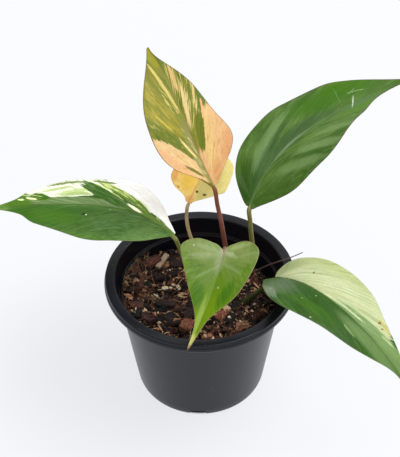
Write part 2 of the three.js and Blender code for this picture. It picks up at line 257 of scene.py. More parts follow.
POT_PROFILE = rounded([
    (3, 0, 0), (20, 0, 0.1), (FOOT_RADIUS, 0, 4.4), (RING_RADIUS, RING_HEIGHT, 0.05),
    (WALL_TOP, LEDGE_HEIGHT - WALL, 0.5), (LEDGE_RADIUS + WALL, LEDGE_HEIGHT, 0.5),
    (MOUTH_RADIUS + WALL, POT_HEIGHT - 2.2, 0.6), (RIM_RADIUS - WALL, POT_HEIGHT - 1.4, 0.5),
    (RIM_RADIUS - 0.1, LIP_BOTTOM, 0.2), (LIP_RADIUS, LIP_BOTTOM, 0.25),
    (LIP_RADIUS - 0.15, POT_HEIGHT - 2.7, 0.15), (RIM_RADIUS + 0.45, POT_HEIGHT - 2.4, 0.15),
    (RIM_RADIUS + 0.2, POT_HEIGHT, 0.75), (MOUTH_RADIUS + 0.1, POT_HEIGHT - 0.75, 0.9),
    (LEDGE_RADIUS + 0.2, LEDGE_HEIGHT + 1.7, 0.3), (LEDGE_RADIUS - 0.3, LEDGE_HEIGHT + 1.4, 0.12),
    (LEDGE_RADIUS - 0.35, LEDGE_HEIGHT + 0.4, 0.12), (LEDGE_RADIUS - 1, LEDGE_HEIGHT, 0.3),
    (INNER_FOOT - 0.7, FLOOR, 5), (20, FLOOR, 0.1), (3, FLOOR, 0)])


def drain_slots():
    """Four cutters: prisms along the radius whose section is a squared circle, half as wide
    as a slot and as high."""
    across, height = squared_circle(circle(SLOT_SIDES), 6)
    turn = np.radians(SLOT_AZIMUTH + 90 * np.arange(4))[:, None, None]
    x, y = spun(np.array([[SLOT_INNER], [SLOT_OUTER]]), across * SLOT_WIDTH / 2, turn)
    return np.stack([x, y, height * SLOT_HEIGHT + 0 * x], -1)


def pot_finish():
    """Satin black plastic: a slight orange peel, faint streaks around the wall, and dust."""
    made, place = new_finish("satin_black_plastic")
    cloud = place.noise(28, 3)
    streak = place.stretched(1, 1, 14).noise(40, 3)
    dust = place.noise(620, 1).step(0.70, 0.76) * place.noise(45, 2).step(0.45, 0.7)
    colour = cloud.step(0.3, 0.7).mix((10, 11, 20), (16, 18, 30))
    colour = (dust * 0.5).mix(colour, (120, 118, 112))
    lip = place.node("SeparateXYZ", None, {0: place}, 2).step(*LIP_SHEEN)
    roughness = 0.25 - lip * 0.03 + cloud * 0.08 + streak * 0.08 + dust * 0.3
    height = place.noise(900, 2) * 0.6 + streak * 0.4
    return finish_with(made, colour, roughness, height, 0.05, 0.3)


pot = add_piece("nursery_pot", turned(POT_PROFILE, POT_SIDES), pot_finish(), "pot", ["pot"])
cutter = new_mesh(
    "drain_slots", drain_slots(),
    [group + 2 * SLOT_SIDES * i for i in range(4) for group in tube_faces(2, SLOT_SIDES)],
    pot.data.materials[0])
cut = pot.modifiers.new("Drain slots", "BOOLEAN")
cut.operation, cut.object, cut.solver = "DIFFERENCE", cutter, "EXACT"
shape = bpy.data.meshes.new_from_object(pot.evaluated_get(bpy.context.evaluated_depsgraph_get()))
pot.modifiers.clear()
pot.data = shape
shape.shade_smooth()
shape.set_sharp_from_angle(angle=np.radians(POT_CREASE))
bpy.data.objects.remove(cutter)

# Potting mix
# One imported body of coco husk, bark and fibre that fills the pot. It was poured in round the
# roots and lies loose on top, heaped higher at the left, with a dark crumbly surface.

SOIL_LEVEL, HEAP, DIP = 68, 8.2, 3
SOIL_GAP, CRUMB_DEPTH, CRUMB_SIZES = 0.3, 1.2, (4.3, 2.1, 1.1)
BED_RINGS, BED_SIDES = 110, 220
INNER_CORNER, WALL_REACH = 6, 50


def smooth_step(value, low, high):
    """0 at low and 1 at high, smooth between them."""
    share = np.clip((value - low) / (high - low), 0, 1)
    return share**2 * (3 - 2 * share)


def mix_height(x, y):
    """The level of the mix: a heap at the left, a dip at the right, and two crossing ripples."""
    heap = HEAP * smooth_step(-x, 15, 50) - DIP * smooth_step(x + y, 20, 70)
    ripple = 0.9 * np.sin(0.21 * x + 0.4) * np.cos(0.17 * y) + 0.6 * np.sin(0.43 * x - 0.37 * y)
    return SOIL_LEVEL + heap + ripple


def lattice_noise(x, y, size, seed):
    """Noise from -1 to 1: random values on a square lattice, blended smoothly between them."""
    table = np.random.default_rng(seed).uniform(-1, 1, (64, 64))
    column, row = np.floor(x / size).astype(int), np.floor(y / size).astype(int)
    u, v = smooth_step(x / size - column, 0, 1), smooth_step(y / size - row, 0, 1)
    near = table[row % 64, column % 64] * (1 - u) + table[row % 64, (column + 1) % 64] * u
    far = table[(row + 1) % 64, column % 64] * (1 - u) + table[(row + 1) % 64, (column + 1) % 64] * u
    return near * (1 - v) + far * v


def inside_radius(z):
    """The radius of the pot's inside between its rounded corner and the ledge."""
    share = np.maximum(0, z - INNER_CORNER) / (LEDGE_HEIGHT - INNER_CORNER)
    return INNER_FOOT + (LEDGE_RADIUS - 1 - INNER_FOOT) * share


def bed_points():
    """Rings from the middle of the top out to the wall, with a crumbly relief of three
    lattice noises, then down the wall and in under the mix."""
    share = np.linspace(0.01, 1, BED_RINGS)[:, None]
    angle = circle(BED_SIDES)
    level = mix_height(WALL_REACH * np.cos(angle), WALL_REACH * np.sin(angle))
    edge = inside_radius(level) - SOIL_GAP
    x, y = share * edge * np.cos(angle), share * edge * np.sin(angle)
    crumbs = sum(size * 0.32 * lattice_noise(x, y, size, seed)
                 for seed, size in enumerate(CRUMB_SIZES))
    top = np.stack([x, y, mix_height(x, y) - CRUMB_DEPTH + crumbs], -1)
    wall = turned([(inside_radius(z) - SOIL_GAP, z) for z in (55, 30, 8)], BED_SIDES)
    floor = turned([(35, FLOOR + SOIL_GAP), (4, FLOOR + SOIL_GAP)], BED_SIDES)
    return np.concatenate([top, wall, floor])[::-1]


def bed_finish():
    """Damp crumbs from near black to red brown, with a coarse and a fine relief."""
    made, place = new_finish("damp_crumbly_mix")
    coarse, fine = place.noise(260, 4), place.noise(900, 3)
    colour = place.node("ValToRGB", {"stops": [
        (0.3, 20, 13, 11), (0.5, 48, 30, 22), (0.62, 84, 50, 36),
        (0.75, 128, 88, 62)]}, {"Fac": coarse * 0.6 + fine * 0.4})
    return finish_with(made, colour, 0.55 + fine * 0.4, coarse * 0.6 + fine * 0.4, 0.9)


add_piece("potting_mix_bed", bed_points(), bed_finish(), "potting_mix", ["potting_mix"])

# Husk chips and bark
# Cut coco husk and pine bark, four to sixteen millimetres long, that lie half sunk in the
# mix. Each is a split, fibrous block, and they run from near black over red brown to tan.

CHIPS, CHIP_REACH, CHIP_RISE = 330, 47, 0.4


def lumps(random, places, sizes, tilts, boxy, blunt, rough, around, along, bend):
    """Closed lumps in one mesh. At a share v from -1 to 1 of its length a lump's section is
    the superellipse |y|^boxy + |z|^boxy = 1, shrunk by (1 - |v|^blunt)^(1/blunt). Its sides
    stand out at random by rough, along whole fibres and by half as much at single points, and
    its ends are as ragged. It sags by bend v^2 of its length. It is rolled, pitched and
    turned by its tilts and set on its place. Gives the points, there and on its own axes."""
    count = len(places)
    v = np.linspace(-0.97, 0.97, along)[:, None]
    shrink = (1 - np.abs(v) ** blunt) ** (1 / blunt)
    section = squared_circle(circle(around, 0.5), boxy)
    fibre = random.uniform(-1, 1, (2, count, 1, around))
    stand = 1 + rough * (fibre[0] + 0.5 * random.uniform(-1, 1, (count, along, around)))
    own = np.stack([v * (1 + 0.8 * rough * fibre[1]) + 0 * stand,
                    shrink * section[0] * stand, shrink * section[1] * stand], -1)
    own = own * (np.asarray(sizes, float) / 2)[:, None, None]
    sag = np.broadcast_to(bend, count) * np.asarray(sizes)[:, 0]
    own[..., 2] -= sag[:, None, None] * v**2
    roll, pitch, turn = np.asarray(tilts, float).T[:, :, None, None]
    x, y, z = np.moveaxis(own, -1, 0)
    y, z = spun(y, z, roll)
    x, z = spun(x, z, pitch)
    x, y = spun(x, y, turn)
    return np.stack([x, y, z], -1) + np.asarray(places, float)[:, None, None], own


def lump_faces(count, around, along):
    """The faces of that many lumps in one mesh."""
    start = np.arange(count)[:, None, None] * around * along
    return [(group + start).reshape(-1, group.shape[1]) for group in tube_faces(along, around)]


def add_lumps(name, random, places, sizes, tilts, form, sides, finish,
              crease=None, bend=0.0, spread=None, tint=0.5):
    """Lumps as one piece of the mix. form is boxy, blunt and rough, and sides are the points
    around and along. The tint of each is given, or drawn from a beta distribution."""
    points, own = lumps(random, places, sizes, tilts, *form, *sides, bend)
    if spread:
        tint = random.beta(*spread, len(points))
    tint = np.repeat(np.broadcast_to(tint, len(points)), sides[0] * sides[1])
    add_piece(name, points, finish, "potting_mix", (), lump_faces(len(points), *sides), crease,
              grain=own, tint=tint)


def scattered(random, count, reach, rise):
    """Places on the mix, even over a disc, that stand out of it by rise."""
    radius, angle = reach * np.sqrt(random.random(count)), random.uniform(0, 2 * np.pi, count)
    x, y = radius * np.cos(angle), radius * np.sin(angle)
    return np.stack([x, y, mix_height(x, y) + rise], -1)


def held_in(places, lengths):
    """The places drawn in from the pot's wall, so that pieces of these lengths fit there."""
    reach = np.linalg.norm(places[:, :2], axis=1)
    share = np.minimum(1, (WALL_REACH - np.asarray(lengths) / 2) / np.maximum(reach, 1))
    return places * np.stack([share, share, np.ones_like(share)], -1)


def chip_finish(name, stops, grain_depth):
    """Fibrous husk: the chip's own shade from its tint, streaked along its own long axis."""
    made, place = new_finish(name)
    grain = place.attribute("grain", "Vector").stretched(0.14, 1, 1)
    fibre = grain.noise(2.2, 4)
    rough = place.noise(700, 3)
    tint = place.attribute("tint") + (fibre - 0.5) * 1.1 + (rough - 0.5) * 0.5
    colour = place.node("ValToRGB", {"stops": stops}, {"Fac": tint})
    return finish_with(made, colour, 0.55 + rough * 0.4, fibre * 0.7 + rough * 0.3, grain_depth, 0.4)


random = np.random.default_rng(11)
husk = chip_finish("fibrous_husk", [
    (0.12, 10, 6, 6), (0.36, 40, 21, 15), (0.5, 98, 52, 32),
    (0.68, 164, 110, 74), (0.9, 222, 188, 148)], 0.6)
sizes = random.uniform((3.5, 2, 1), (13, 5.4, 3.4), (CHIPS, 3))
tilts = random.normal(0, (0.4, 0.3, 2.5), (CHIPS, 3))
places = held_in(scattered(random, CHIPS, CHIP_REACH, CHIP_RISE), sizes[:, 0])
add_lumps("husk_chips", random, places, sizes, tilts, (3.2, 4, 0.2), (10, 7), husk, 42,
          random.normal(0, 0.06, CHIPS), (1.4, 3.1))

# The larger pieces that show: place, length, width, height, turn in degrees, and tint
large_chips = [
    (-8.5, -25.5, 9.5, 8, 5, 70, 0.7), (-32, 27, 13, 6, 3.5, 38, 0.5),
    (-24, -8, 16, 6, 4, -4, 0.24), (-21, -17, 13, 7.5, 3.5, -40, 0.12),
    (-14, 30, 13, 7, 4, 10, 0.2), (-38.5, 9, 13, 4.6, 3, 78, 0.46),
    (13.5, -17, 7.5, 6, 4, 60, 0.66), (-40, -14, 8, 5, 3, 0, 0.4),
    (37, -16, 13, 6, 3.5, 35, 0.42), (25.5, -26, 10, 5.5, 2.6, 20, 0.8),
    (4, -35, 7, 4, 2.4, 5, 0.8), (-13, -10, 13, 6, 3, 15, 0.3),
    (-33, -24, 11, 6, 3.5, -50, 0.3), (-7, -16, 10, 6, 3.5, 40, 0.22),
    (36, 12, 9, 5, 3, 95, 0.4), (22, 22, 12, 7, 4, -20, 0.25),
    (-2, 26, 11, 6, 3, 50, 0.3), (0, 40, 10, 5, 3, 0, 0.35), (-30, 14, 12, 5, 3, 20, 0.1),
    (-44, 17, 9, 4, 2.6, 80, 0.5), (30, -2, 9, 5, 3, 60, 0.2), (16, -28, 9, 4, 2.4, -15, 0.3)]
x, y, length, width, height, turn, tint = np.array(large_chips, float).T
places = held_in(np.stack([x, y, mix_height(x, y) + 0.35 * height], -1), length)
tilts = np.stack(
    [random.normal(0, 0.14, len(x)), random.normal(0, 0.1, len(x)), np.radians(turn)], -1)
red_husk = chip_finish("red_brown_husk", [
    (0, 15, 10, 10), (0.3, 52, 30, 26), (0.52, 96, 54, 40), (0.72, 146, 80, 56),
    (1, 196, 160, 122)], 0.8)
add_lumps("large_husk_chips", random, places, np.stack([length, width, height], -1), tilts,
          (5, 12, 0.09), (28, 16), red_husk, 55, random.normal(0.03, 0.05, len(x)), tint=tint)

# Shreds and crumbs
# Torn husk in thin flat shreds up to eleven millimetres long, and the crumbs and dust of
# broken bark between the chips. Most is dark and damp, and the dry bits are tan.

SHREDS, SHRED_REACH, SHRED_RISE = 460, 48, 0.8
CRUMBS, CRUMB_REACH = 1700, 48.5
# The shreds round this place lie deeper, so that the wood stick shows
CLEAR_X, CLEAR_Y, CLEAR_REACH, CLEAR_DEPTH = -26, 31, 9, 3

sizes = random.uniform((3, 0.4, 0.25), (11, 1.8, 0.7), (SHREDS, 3))
tilts = random.normal(0, (0.5, 0.22, 2.5), (SHREDS, 3))
places = held_in(scattered(random, SHREDS, SHRED_REACH, SHRED_RISE), sizes[:, 0])
places[:, 2] += random.uniform(-0.4, 1.6, SHREDS)
places[np.hypot(places[:, 0] - CLEAR_X, places[:, 1] - CLEAR_Y) < CLEAR_REACH, 2] -= CLEAR_DEPTH
add_lumps("husk_shreds", random, places, sizes, tilts, (3, 2.4, 0.25), (6, 7), husk, 45,
          random.normal(0.02, 0.12, SHREDS), (0.9, 1.3))

places = scattered(random, CRUMBS, CRUMB_REACH, 0)
places[:, 2] += random.uniform(-0.6, 2.2, CRUMBS)
sizes = random.uniform(0.5, 1.4, (CRUMBS, 3)) * random.uniform(0.6, 1.8, (CRUMBS, 1))
add_lumps("crumbs", random, places, sizes, random.uniform(-3, 3, (CRUMBS, 3)), (3, 3, 0.3),
          (5, 3), husk, 30, spread=(1.2, 1.9))

# Perlite
# Puffed volcanic glass in rounded white grains, one to five millimetres across, that lighten
# the mix. A few clean grains lie on top, and most are stained by the wet husk.

SMALL_GRAINS, GRAIN_REACH, GRAIN_RISE = 70, 47, 1.3


def perlite_finish():
    """Chalky white with stained hollows and a pitted relief."""
    made, place = new_finish("puffed_perlite")
    pits, stain = place.noise(1300, 3), place.noise(380, 2)
    colour = (stain.step(0.42, 0.7) * 0.7).mix((252, 232, 200), (204, 156, 112))
    return finish_with(made, colour, 0.8 + pits * 0.2, pits, 0.4)


# The grains that show: place and size across
grains = [
    (34.8, 15, 1.8), (15.1, -9.1, 1.9), (19.7, -6.8, 2.1), (18.7, -19.2, 2.4), (34.5, -6.6, 1.6),
    (32.9, -12.7, 2.4), (-23, 6.4, 3.2), (-19.6, 7.2, 2.6), (-17.6, 10.4, 2.6), (-14.4, 8.6, 3.2),
    (-36.9, 0, 1.6), (-30.2, -2, 2.6), (-28.2, -2.4, 1.6), (-27, -15.4, 1.6), (-26.2, -23.4, 2.2),
    (28.1, 12.6, 1.6), (2.7, -35.2, 2.6), (7.1, -36.2, 2.2), (10.4, -36, 1.8), (-48.4, 10, 1.6),
    (-48, 5.4, 1.5), (29, -27, 2), (25.4, -23, 1.8), (-20, 24, 1.1), (5, 34, 2),
    (18, 31, 1.6), (-6, 21, 1.4), (40, 20, 1.3)]
x, y, across = np.array(grains).T
sizes = across[:, None] * random.uniform((1, 0.75, 0.6), (1.7, 1.1, 0.9), (len(x), 3))
perlite = perlite_finish()
add_lumps("perlite", random, np.stack([x, y, mix_height(x, y) + GRAIN_RISE], -1), sizes,
          random.uniform(-0.6, 0.6, (len(x), 3)) * (1, 1, 5), (2.4, 2.6, 0.08), (16, 10), perlite)

sizes = random.uniform(0.45, 1, (SMALL_GRAINS, 1)) * random.uniform(0.8, 1.3, (SMALL_GRAINS, 3))
add_lumps("perlite_dust", random, scattered(random, SMALL_GRAINS, GRAIN_REACH, 1), sizes,
          random.uniform(-3, 3, (SMALL_GRAINS, 3)), (2.4, 2.4, 0.14), (6, 4), perlite)

# Husk fibres
# Stiff coir hairs a tenth to half a millimetre thick that stick out of the mix and lie
# across it in loose arcs. They are tan where dry and dark where wet.

FIBRES, FIBRE_REACH, FIBRE_RISE = 340, 46.5, 0.9


def heading(azimuth, rise):
    """The unit vector of an azimuth that rises by an angle."""
    level = np.cos(rise)
    return np.stack([level * np.cos(azimuth), level * np.sin(azimuth), np.sin(rise)], -1)


def arcs(random, roots, lengths, radii, curl, steps=9, around=4):
    """Thin tubes in one mesh. Each follows root + way s + bend s^2 + twist s^3, drawn at
    random, bend and twist by curl of its length, and its radius falls to a quarter."""
    count = len(roots)
    way = heading(random.uniform(0, 2 * np.pi, count), random.normal(0.1, 0.3, count))
    bend, twist = random.normal(0, curl, (2, count, 1, 3)) * lengths[:, None, None]
    s = np.linspace(0, 1, steps)[None, :, None]
    line = roots[:, None] + way[:, None] * lengths[:, None, None] * s + bend * s**2 + twist * s**3
    tangent = unit(np.gradient(line, axis=1))
    across = unit(np.cross(tangent, (0.3, 0.2, 1.0)))
    up = np.cross(tangent, across)
    angle = circle(around)
    radius = (radii[:, None, None] * (1 - 0.75 * s))[..., None]
    ring = across[:, :, None] * np.cos(angle)[:, None] + up[:, :, None] * np.sin(angle)[:, None]
    made = line[:, :, None] + ring * radius
    reach = np.linalg.norm(made[..., :2], axis=-1, keepdims=True)
    made[..., :2] *= np.minimum(1, WALL_REACH / reach)
    made[..., 2] = np.maximum(made[..., 2], mix_height(made[..., 0], made[..., 1]) - 0.4)
    return made


def add_fibres(name, made, tint):
    """The tubes of arcs as a piece of the mix."""
    count, steps, around = made.shape[:3]
    add_piece(name, made, coir, "potting_mix", (), lump_faces(count, around, steps),
              grain=made, tint=np.repeat(tint, steps * around))


coir = chip_finish("coir_fibre", [
    (0.1, 34, 22, 18), (0.5, 104, 72, 50), (0.9, 196, 164, 128)], 0.05)
roots = scattered(random, FIBRES, FIBRE_REACH, FIBRE_RISE)
made = arcs(random, roots, random.uniform(3, 12, FIBRES), random.uniform(0.07, 0.19, FIBRES), 0.3)
add_fibres("coir_fibres", made, random.beta(1.4, 1.2, FIBRES))

# Tufts of dry fibre, most against the wall at the left: place, spread and number
tufts = [(-46.5, 19, 3, 40), (-48, 11, 2.6, 56), (-48, 4, 2.6, 44), (-42, 27, 3, 30),
         (-36, 33, 3, 20), (-31, -6, 5, 40), (26, -25, 4, 40), (38, -12, 4, 30)]
x, y, spread, _ = (np.repeat(column, [tuft[3] for tuft in tufts]) for column in zip(*tufts))
x, y = x + random.normal(0, spread / 2), y + random.normal(0, spread / 2)
made = arcs(random, np.stack([x, y, mix_height(x, y) + random.uniform(0.5, 2.6, len(x))], -1),
            random.uniform(2, 5.5, len(x)), random.uniform(0.1, 0.24, len(x)), 0.5)
add_fibres("coir_tufts", made, random.beta(3, 1.6, len(x)))

# Wood stick
# A split of pale dry wood about fourteen millimetres long, with square edges and a straight
# grain, that lies on the mix at the back left.

STICK_PLACE, STICK_RISE, STICK_TURN = (-25.2, 29.2), 3.6, np.radians(62)
STICK_SIZE = 13.5, 3.6, 2.4

stick_height = float(mix_height(*STICK_PLACE)) + STICK_RISE
pale_wood = chip_finish("pale_dry_wood", [
    (0.1, 130, 104, 84), (0.5, 176, 150, 126), (0.9, 208, 188, 166)], 0.25)
add_lumps("wood_stick", random, [(*STICK_PLACE, stick_height)], [STICK_SIZE],
          [(0.1, 0.06, STICK_TURN)], (7, 14, 0.04), (24, 16), pale_wood, 50)

# Stem
# The plant's short upright stem, rooted in the mix, with a ring at each node where an old
# leaf sheath fell away. It is olive brown with corky scars.

STALK_SIDES = 24
STEM_RADII, STEM_RINGS = (5, 3.6), (0.68, 0.8, 0.92)
STEM_POINTS = [(16, 2.5, 50), (18, 1.5, 62), (20.5, 0.8, 72), (22.5, 0.3, 80), (22.9, 0.2, 83)]


def spline(points, power=0.0, reach=0.0, steps=24):
    """A Catmull-Rom curve through points. The knots are spaced by distance^power, and the
    ghost point past each end lies reach of the end's own chord beyond it."""
    points = np.asarray(points, float)
    ends = np.vstack([points[:1] + reach * (points[:1] - points[1:2]), points,
                      points[-1:] + reach * (points[-1:] - points[-2:-1])])
    a, b, c, d = (ends[i:len(ends) - 3 + i, None] for i in range(4))
    gap = [np.linalg.norm(q - p, axis=-1, keepdims=True) ** power
           for p, q in ((a, b), (b, c), (c, d))]
    gap = [np.where(g < 1e-4, gap[1], g) for g in gap]
    leave = ((b - a) / gap[0] - (c - a) / (gap[0] + gap[1]) + (c - b) / gap[1]) * gap[1]
    arrive = ((c - b) / gap[1] - (d - b) / (gap[1] + gap[2]) + (d - c) / gap[2]) * gap[1]
    t = np.linspace(0, 1, steps, endpoint=False)[None, :, None]
    curve = (b + leave * t + (3 * (c - b) - 2 * leave - arrive) * t**2
             + (2 * (b - c) + leave + arrive) * t**3)
    return np.vstack([curve.reshape(-1, points.shape[1]), points[-1:]])


def evenly(curve, shares):
    """The places at these shares of a curve's length."""
    length = np.insert(np.cumsum(np.linalg.norm(np.diff(curve, axis=0), axis=1)), 0, 0)
    return np.stack([np.interp(shares * length[-1], length, each) for each in curve.T], -1)


def stalk(points, foot, top, flatness=1, steps=70, groove=0, collar=0, rings=(), rough=0):
    """A tube along a smooth route. Its radius is top + (foot - top) (1 - u)^2 at a share u of
    its length, swelled by collar near the top and by a narrow bell at each ring. The groove
    is a bell-shaped hollow along its upper side, and rough a small random unevenness."""
    u = np.linspace(0, 1, steps)
    line = evenly(spline(points, 0.5, 1.0), u)
    along = unit(np.gradient(line, axis=0))
    across = unit(np.array([1.0, 0, 0]) - along * along[:, :1])
    up = np.cross(along, across)
    radius = top + (foot - top) * (1 - u) ** 2
    radius = radius * (1 + collar * np.exp(-((u - 0.95) / 0.05) ** 2))
    radius = radius * (1 + sum(0.12 * np.exp(-((u - ring) / 0.018) ** 2) for ring in rings))
    angle = circle(STALK_SIDES)
    hollow = 1 - groove * np.exp(-((angle - 1.5 * np.pi) / 0.5) ** 2)
    uneven = 1 + rough * lattice_noise(angle * 4, u[:, None] * 90, 1.0, steps)
    width = (radius[:, None] * hollow * uneven)[..., None]
    angle, across, up = angle[:, None], across[:, None], up[:, None]
    side = across * np.cos(angle) + flatness * up * np.sin(angle)
    return line[:, None] + side * width, np.repeat(u, STALK_SIDES)


def stalk_finish(name, low, high, streaks, roughness=0.42):
    """A smooth green or red stalk: its colour runs from low to high along it, with fine
    streaks down its length and small corky dots."""
    made, place = new_finish(name)
    share = place.attribute("share")
    streak = place.stretched(1, 1, 0.12).noise(1300, 3)
    cloud = place.noise(170, 3)
    dots = place.noise(1100, 1).step(0.68, 0.76)
    colour = (share + (cloud - 0.5) * 0.4).step(0.1, 0.9).mix(low, high)
    colour = (streak.step(0.42, 0.68) * 0.55).mix(colour, streaks)
    colour = (dots * 0.35).mix(colour, (150, 120, 84))
    return finish_with(made, colour, roughness + cloud * 0.15, streak * 0.7 + dots * 0.3, 0.08)


points, share = stalk(STEM_POINTS, *STEM_RADII, rings=STEM_RINGS, rough=0.05)
add_piece("stem", points, stalk_finish(
    "corky_stem", (70, 48, 32), (104, 92, 50), (58, 38, 28), 0.55),
    "stem", ["stem"], share=share)

# Aerial root
# A thin dry root that leaves the stem and lies over the pot's lip at the right. It is mauve
# brown, a little knotted, and tapers to a hair.

ROOT_RADII, ROOT_RINGS = (1.15, 0.28), (0.31, 0.52, 0.7, 0.86)
ROOT_POINTS = [
    (21.5, 2, 76), (28, 9.5, 78.5), (37.5, 12, 81.5), (44.2, 10.6, 87.2), (50.4, 9.7, 91.2),
    (55, 10.6, 92.5), (58.9, 11.9, 93.1), (62.4, 13.3, 93.6), (66, 15.5, 93.5)]

points, share = stalk(ROOT_POINTS, *ROOT_RADII, steps=120, rings=ROOT_RINGS, rough=0.25)
add_piece("aerial_root", points, stalk_finish(
    "dry_root", (60, 36, 30), (104, 80, 76), (46, 30, 28), 0.6),
    "root", ["aerial_root"], share=share)

# Leaves
# Six long pointed hearts, each one blade of soft waxy tissue on a stalk of its own. The
# blade is half a millimetre thick, ribbed beneath, and swells a little between its veins.

BLADE_EDGE, BLADE_MIDDLE = 0.42, 1.9
NECK_RADIUS, NECK_HALF, TIP_HALF = 1.4, 2.0, 0.4
RIB_WIDTH, GROOVE_WIDTH, GROOVE_DEPTH = 1.5, 0.8, 0.45
VEIN_WIDTH, VEIN_DEPTH, VEIN_RIB = 0.5, 0.1, 0.16
VEIN_ARCH, VEIN_CROWD, VEIN_FAN = 4, 2.5, 14
COLUMNS = 34


def along_leaf(values, u):
    """The quadratic through a value at the base, the middle and the tip."""
    base, middle, tip = values
    return base * (1 - u) * (1 - 2 * u) + middle * 4 * u * (1 - u) + tip * u * (2 * u - 1)


def leaf_axes(leaf, u):
    """The midrib's heading, the sideways axis and the upper normal at a share u: the heading
    from azimuth and pitch, and the other two turned about it by the roll."""
    azimuth, pitch, roll = (
        np.radians(along_leaf(leaf[key], u)) for key in ("azimuth", "pitch", "roll"))
    along = heading(azimuth, pitch)
    across = np.stack([np.sin(azimuth), -np.cos(azimuth), 0 * azimuth], -1)
    normal, across = spun(np.cross(across, along), across, roll[..., None])
    return along, across, normal


def midrib(leaf, y):
    """The midrib at a distance y from the base: the heading summed in short steps, and a
    straight line behind the base."""
    steps = 80
    heading = leaf_axes(leaf, (np.arange(steps) + 0.5) / steps)[0] * leaf["length"] / steps
    line = np.array(leaf["base"]) + np.vstack([np.zeros(3), np.cumsum(heading, 0)])
    walked = np.linspace(0, leaf["length"], steps + 1)
    place = np.stack([np.interp(y, walked, each) for each in line.T], -1)
    return place + np.minimum(y, 0)[..., None] * leaf_axes(leaf, np.zeros(1))[0]


def vein_of(leaf, x, y):
    """The lateral vein that passes a place, as the height at which it leaves the midrib. A
    vein m rises as m + arch sqrt|x| + |x| + curl x^2, more steeply towards the tip, and below
    the first vein the veins fan out of the base."""
    beside = np.abs(x)
    raised = y - VEIN_ARCH * np.sqrt(beside) - leaf["curl"] * x**2
    upper = (raised - beside) / (1 + VEIN_CROWD * beside / leaf["length"])
    fan = VEIN_FAN * (np.arctan2(raised, beside + 1e-9) - np.pi / 4)
    return np.where(raised >= beside, upper, fan)


def blade_points(leaf):
    """Rings across the blade, from base to tip: the upper side from left to right, one row
    round the margin, the lower side back, and the other margin. A ring starts on the midrib
    at L s^1.4 and ends on the outline at the share s. Both halves lift by the fold, the
    margin waves as sin(2 pi n s) t^2, and between veins the tissue swells as sin^2."""
    rows = round(40 + 1.1 * leaf["length"])
    s = np.linspace(0, 1, rows)[:, None]
    wave_height, wave_count, wave_phase = leaf["wave"]
    left, right = (
        evenly(spline([(NECK_HALF, 0), *leaf[key], (TIP_HALF, leaf["length"])]), s[:, 0])
        for key in ("left", "right"))
    t = np.linspace(-1, 1, 2 * COLUMNS + 1)
    side = np.sign(t)
    t = np.abs(t) ** 0.9
    end = np.where((side < 0)[:, None], left[:, None], right[:, None])
    start = leaf["length"] * s**1.4
    x = side * end[..., 0] * t
    y = start + (end[..., 1] - start) * t
    u = np.clip(y / leaf["length"], 0, 1)
    _, across, normal = leaf_axes(leaf, u)
    fold = np.radians(along_leaf(leaf["fold"], u))
    wave = wave_height * np.sin(wave_count * 2 * np.pi * s + wave_phase + side) * t**2
    wave = wave * np.sin(np.pi * s)
    vein = vein_of(leaf, x, y) + 0.9 * lattice_noise(x + 60, y + 60, 13, rows)
    phase = vein / leaf["spacing"] + 0.22 * side
    lateral = np.abs(phase - np.round(phase)) * leaf["spacing"]
    fade = smooth_step(1 - t, 0, 0.25) * smooth_step(np.abs(x), 0.6, 5) * (1 - 0.6 * s)
    fullness = leaf["swell"] * (0.6 + 0.4 * lattice_noise(x + 99, y + 30, 17, rows + 1))
    near_vein = np.exp(-((lateral / VEIN_WIDTH) ** 2))
    swell = fullness * np.sin(np.pi * phase) ** 2 - VEIN_DEPTH * near_vein
    groove = -GROOVE_DEPTH * np.exp(-((x / GROOVE_WIDTH) ** 2)) * (1 - 0.7 * s)
    uneven = 0.55 * lattice_noise(x + 40, y + 40, 12, len(leaf["left"]) + rows) * t
    lift = np.abs(x) * np.sin(fold) + wave + swell * fade + groove + uneven
    top = midrib(leaf, y) + across * (x * np.cos(fold))[..., None] + normal * lift[..., None]
    rib = BLADE_MIDDLE * (1 - 0.8 * s) * np.exp(-np.abs(x / RIB_WIDTH) ** 1.6)
    small_rib = VEIN_RIB * near_vein * fade
    under = top - normal * (BLADE_EDGE + rib + small_rib + groove)[..., None]
    edges = [(top[:, i] + under[:, i]) / 2 + k * across[:, i] * 0.15 for i, k in ((-1, 1), (0, -1))]
    rings = np.concatenate([top, edges[0][:, None], under[:, ::-1], edges[1][:, None]], 1)

    def around(values):
        """Values for a whole ring, from those of the upper side."""
        return np.concatenate([values, values[:, -1:], values[:, ::-1], values[:, :1]], 1)

    upper = np.concatenate([0 * x + 1, 0 * s + 0.5, 0 * x, 0 * s + 0.5], 1)
    values = {"across": around(x), "along": around(y), "vein": around(vein), "upper": upper,
              "rim": around(end[..., 0] * (1 - t)), "lateral": around(lateral)}
    return rings, values


def blade_faces(rows, count):
    """Faces of the rings, with each end closed by a ladder between its two sides."""
    low = count - 2
    step = np.arange(count // 2 - 2)
    ladder = np.stack([step + 1, step, low - step, low - step - 1], -1)
    corners = np.array([(0, count - 1, low), (low // 2 + 1, low // 2, low // 2 - 1)])
    last = (rows - 1) * count
    return [tube_faces(rows, count)[0], ladder, corners, ladder[:, ::-1] + last,
            corners[:, ::-1] + last]


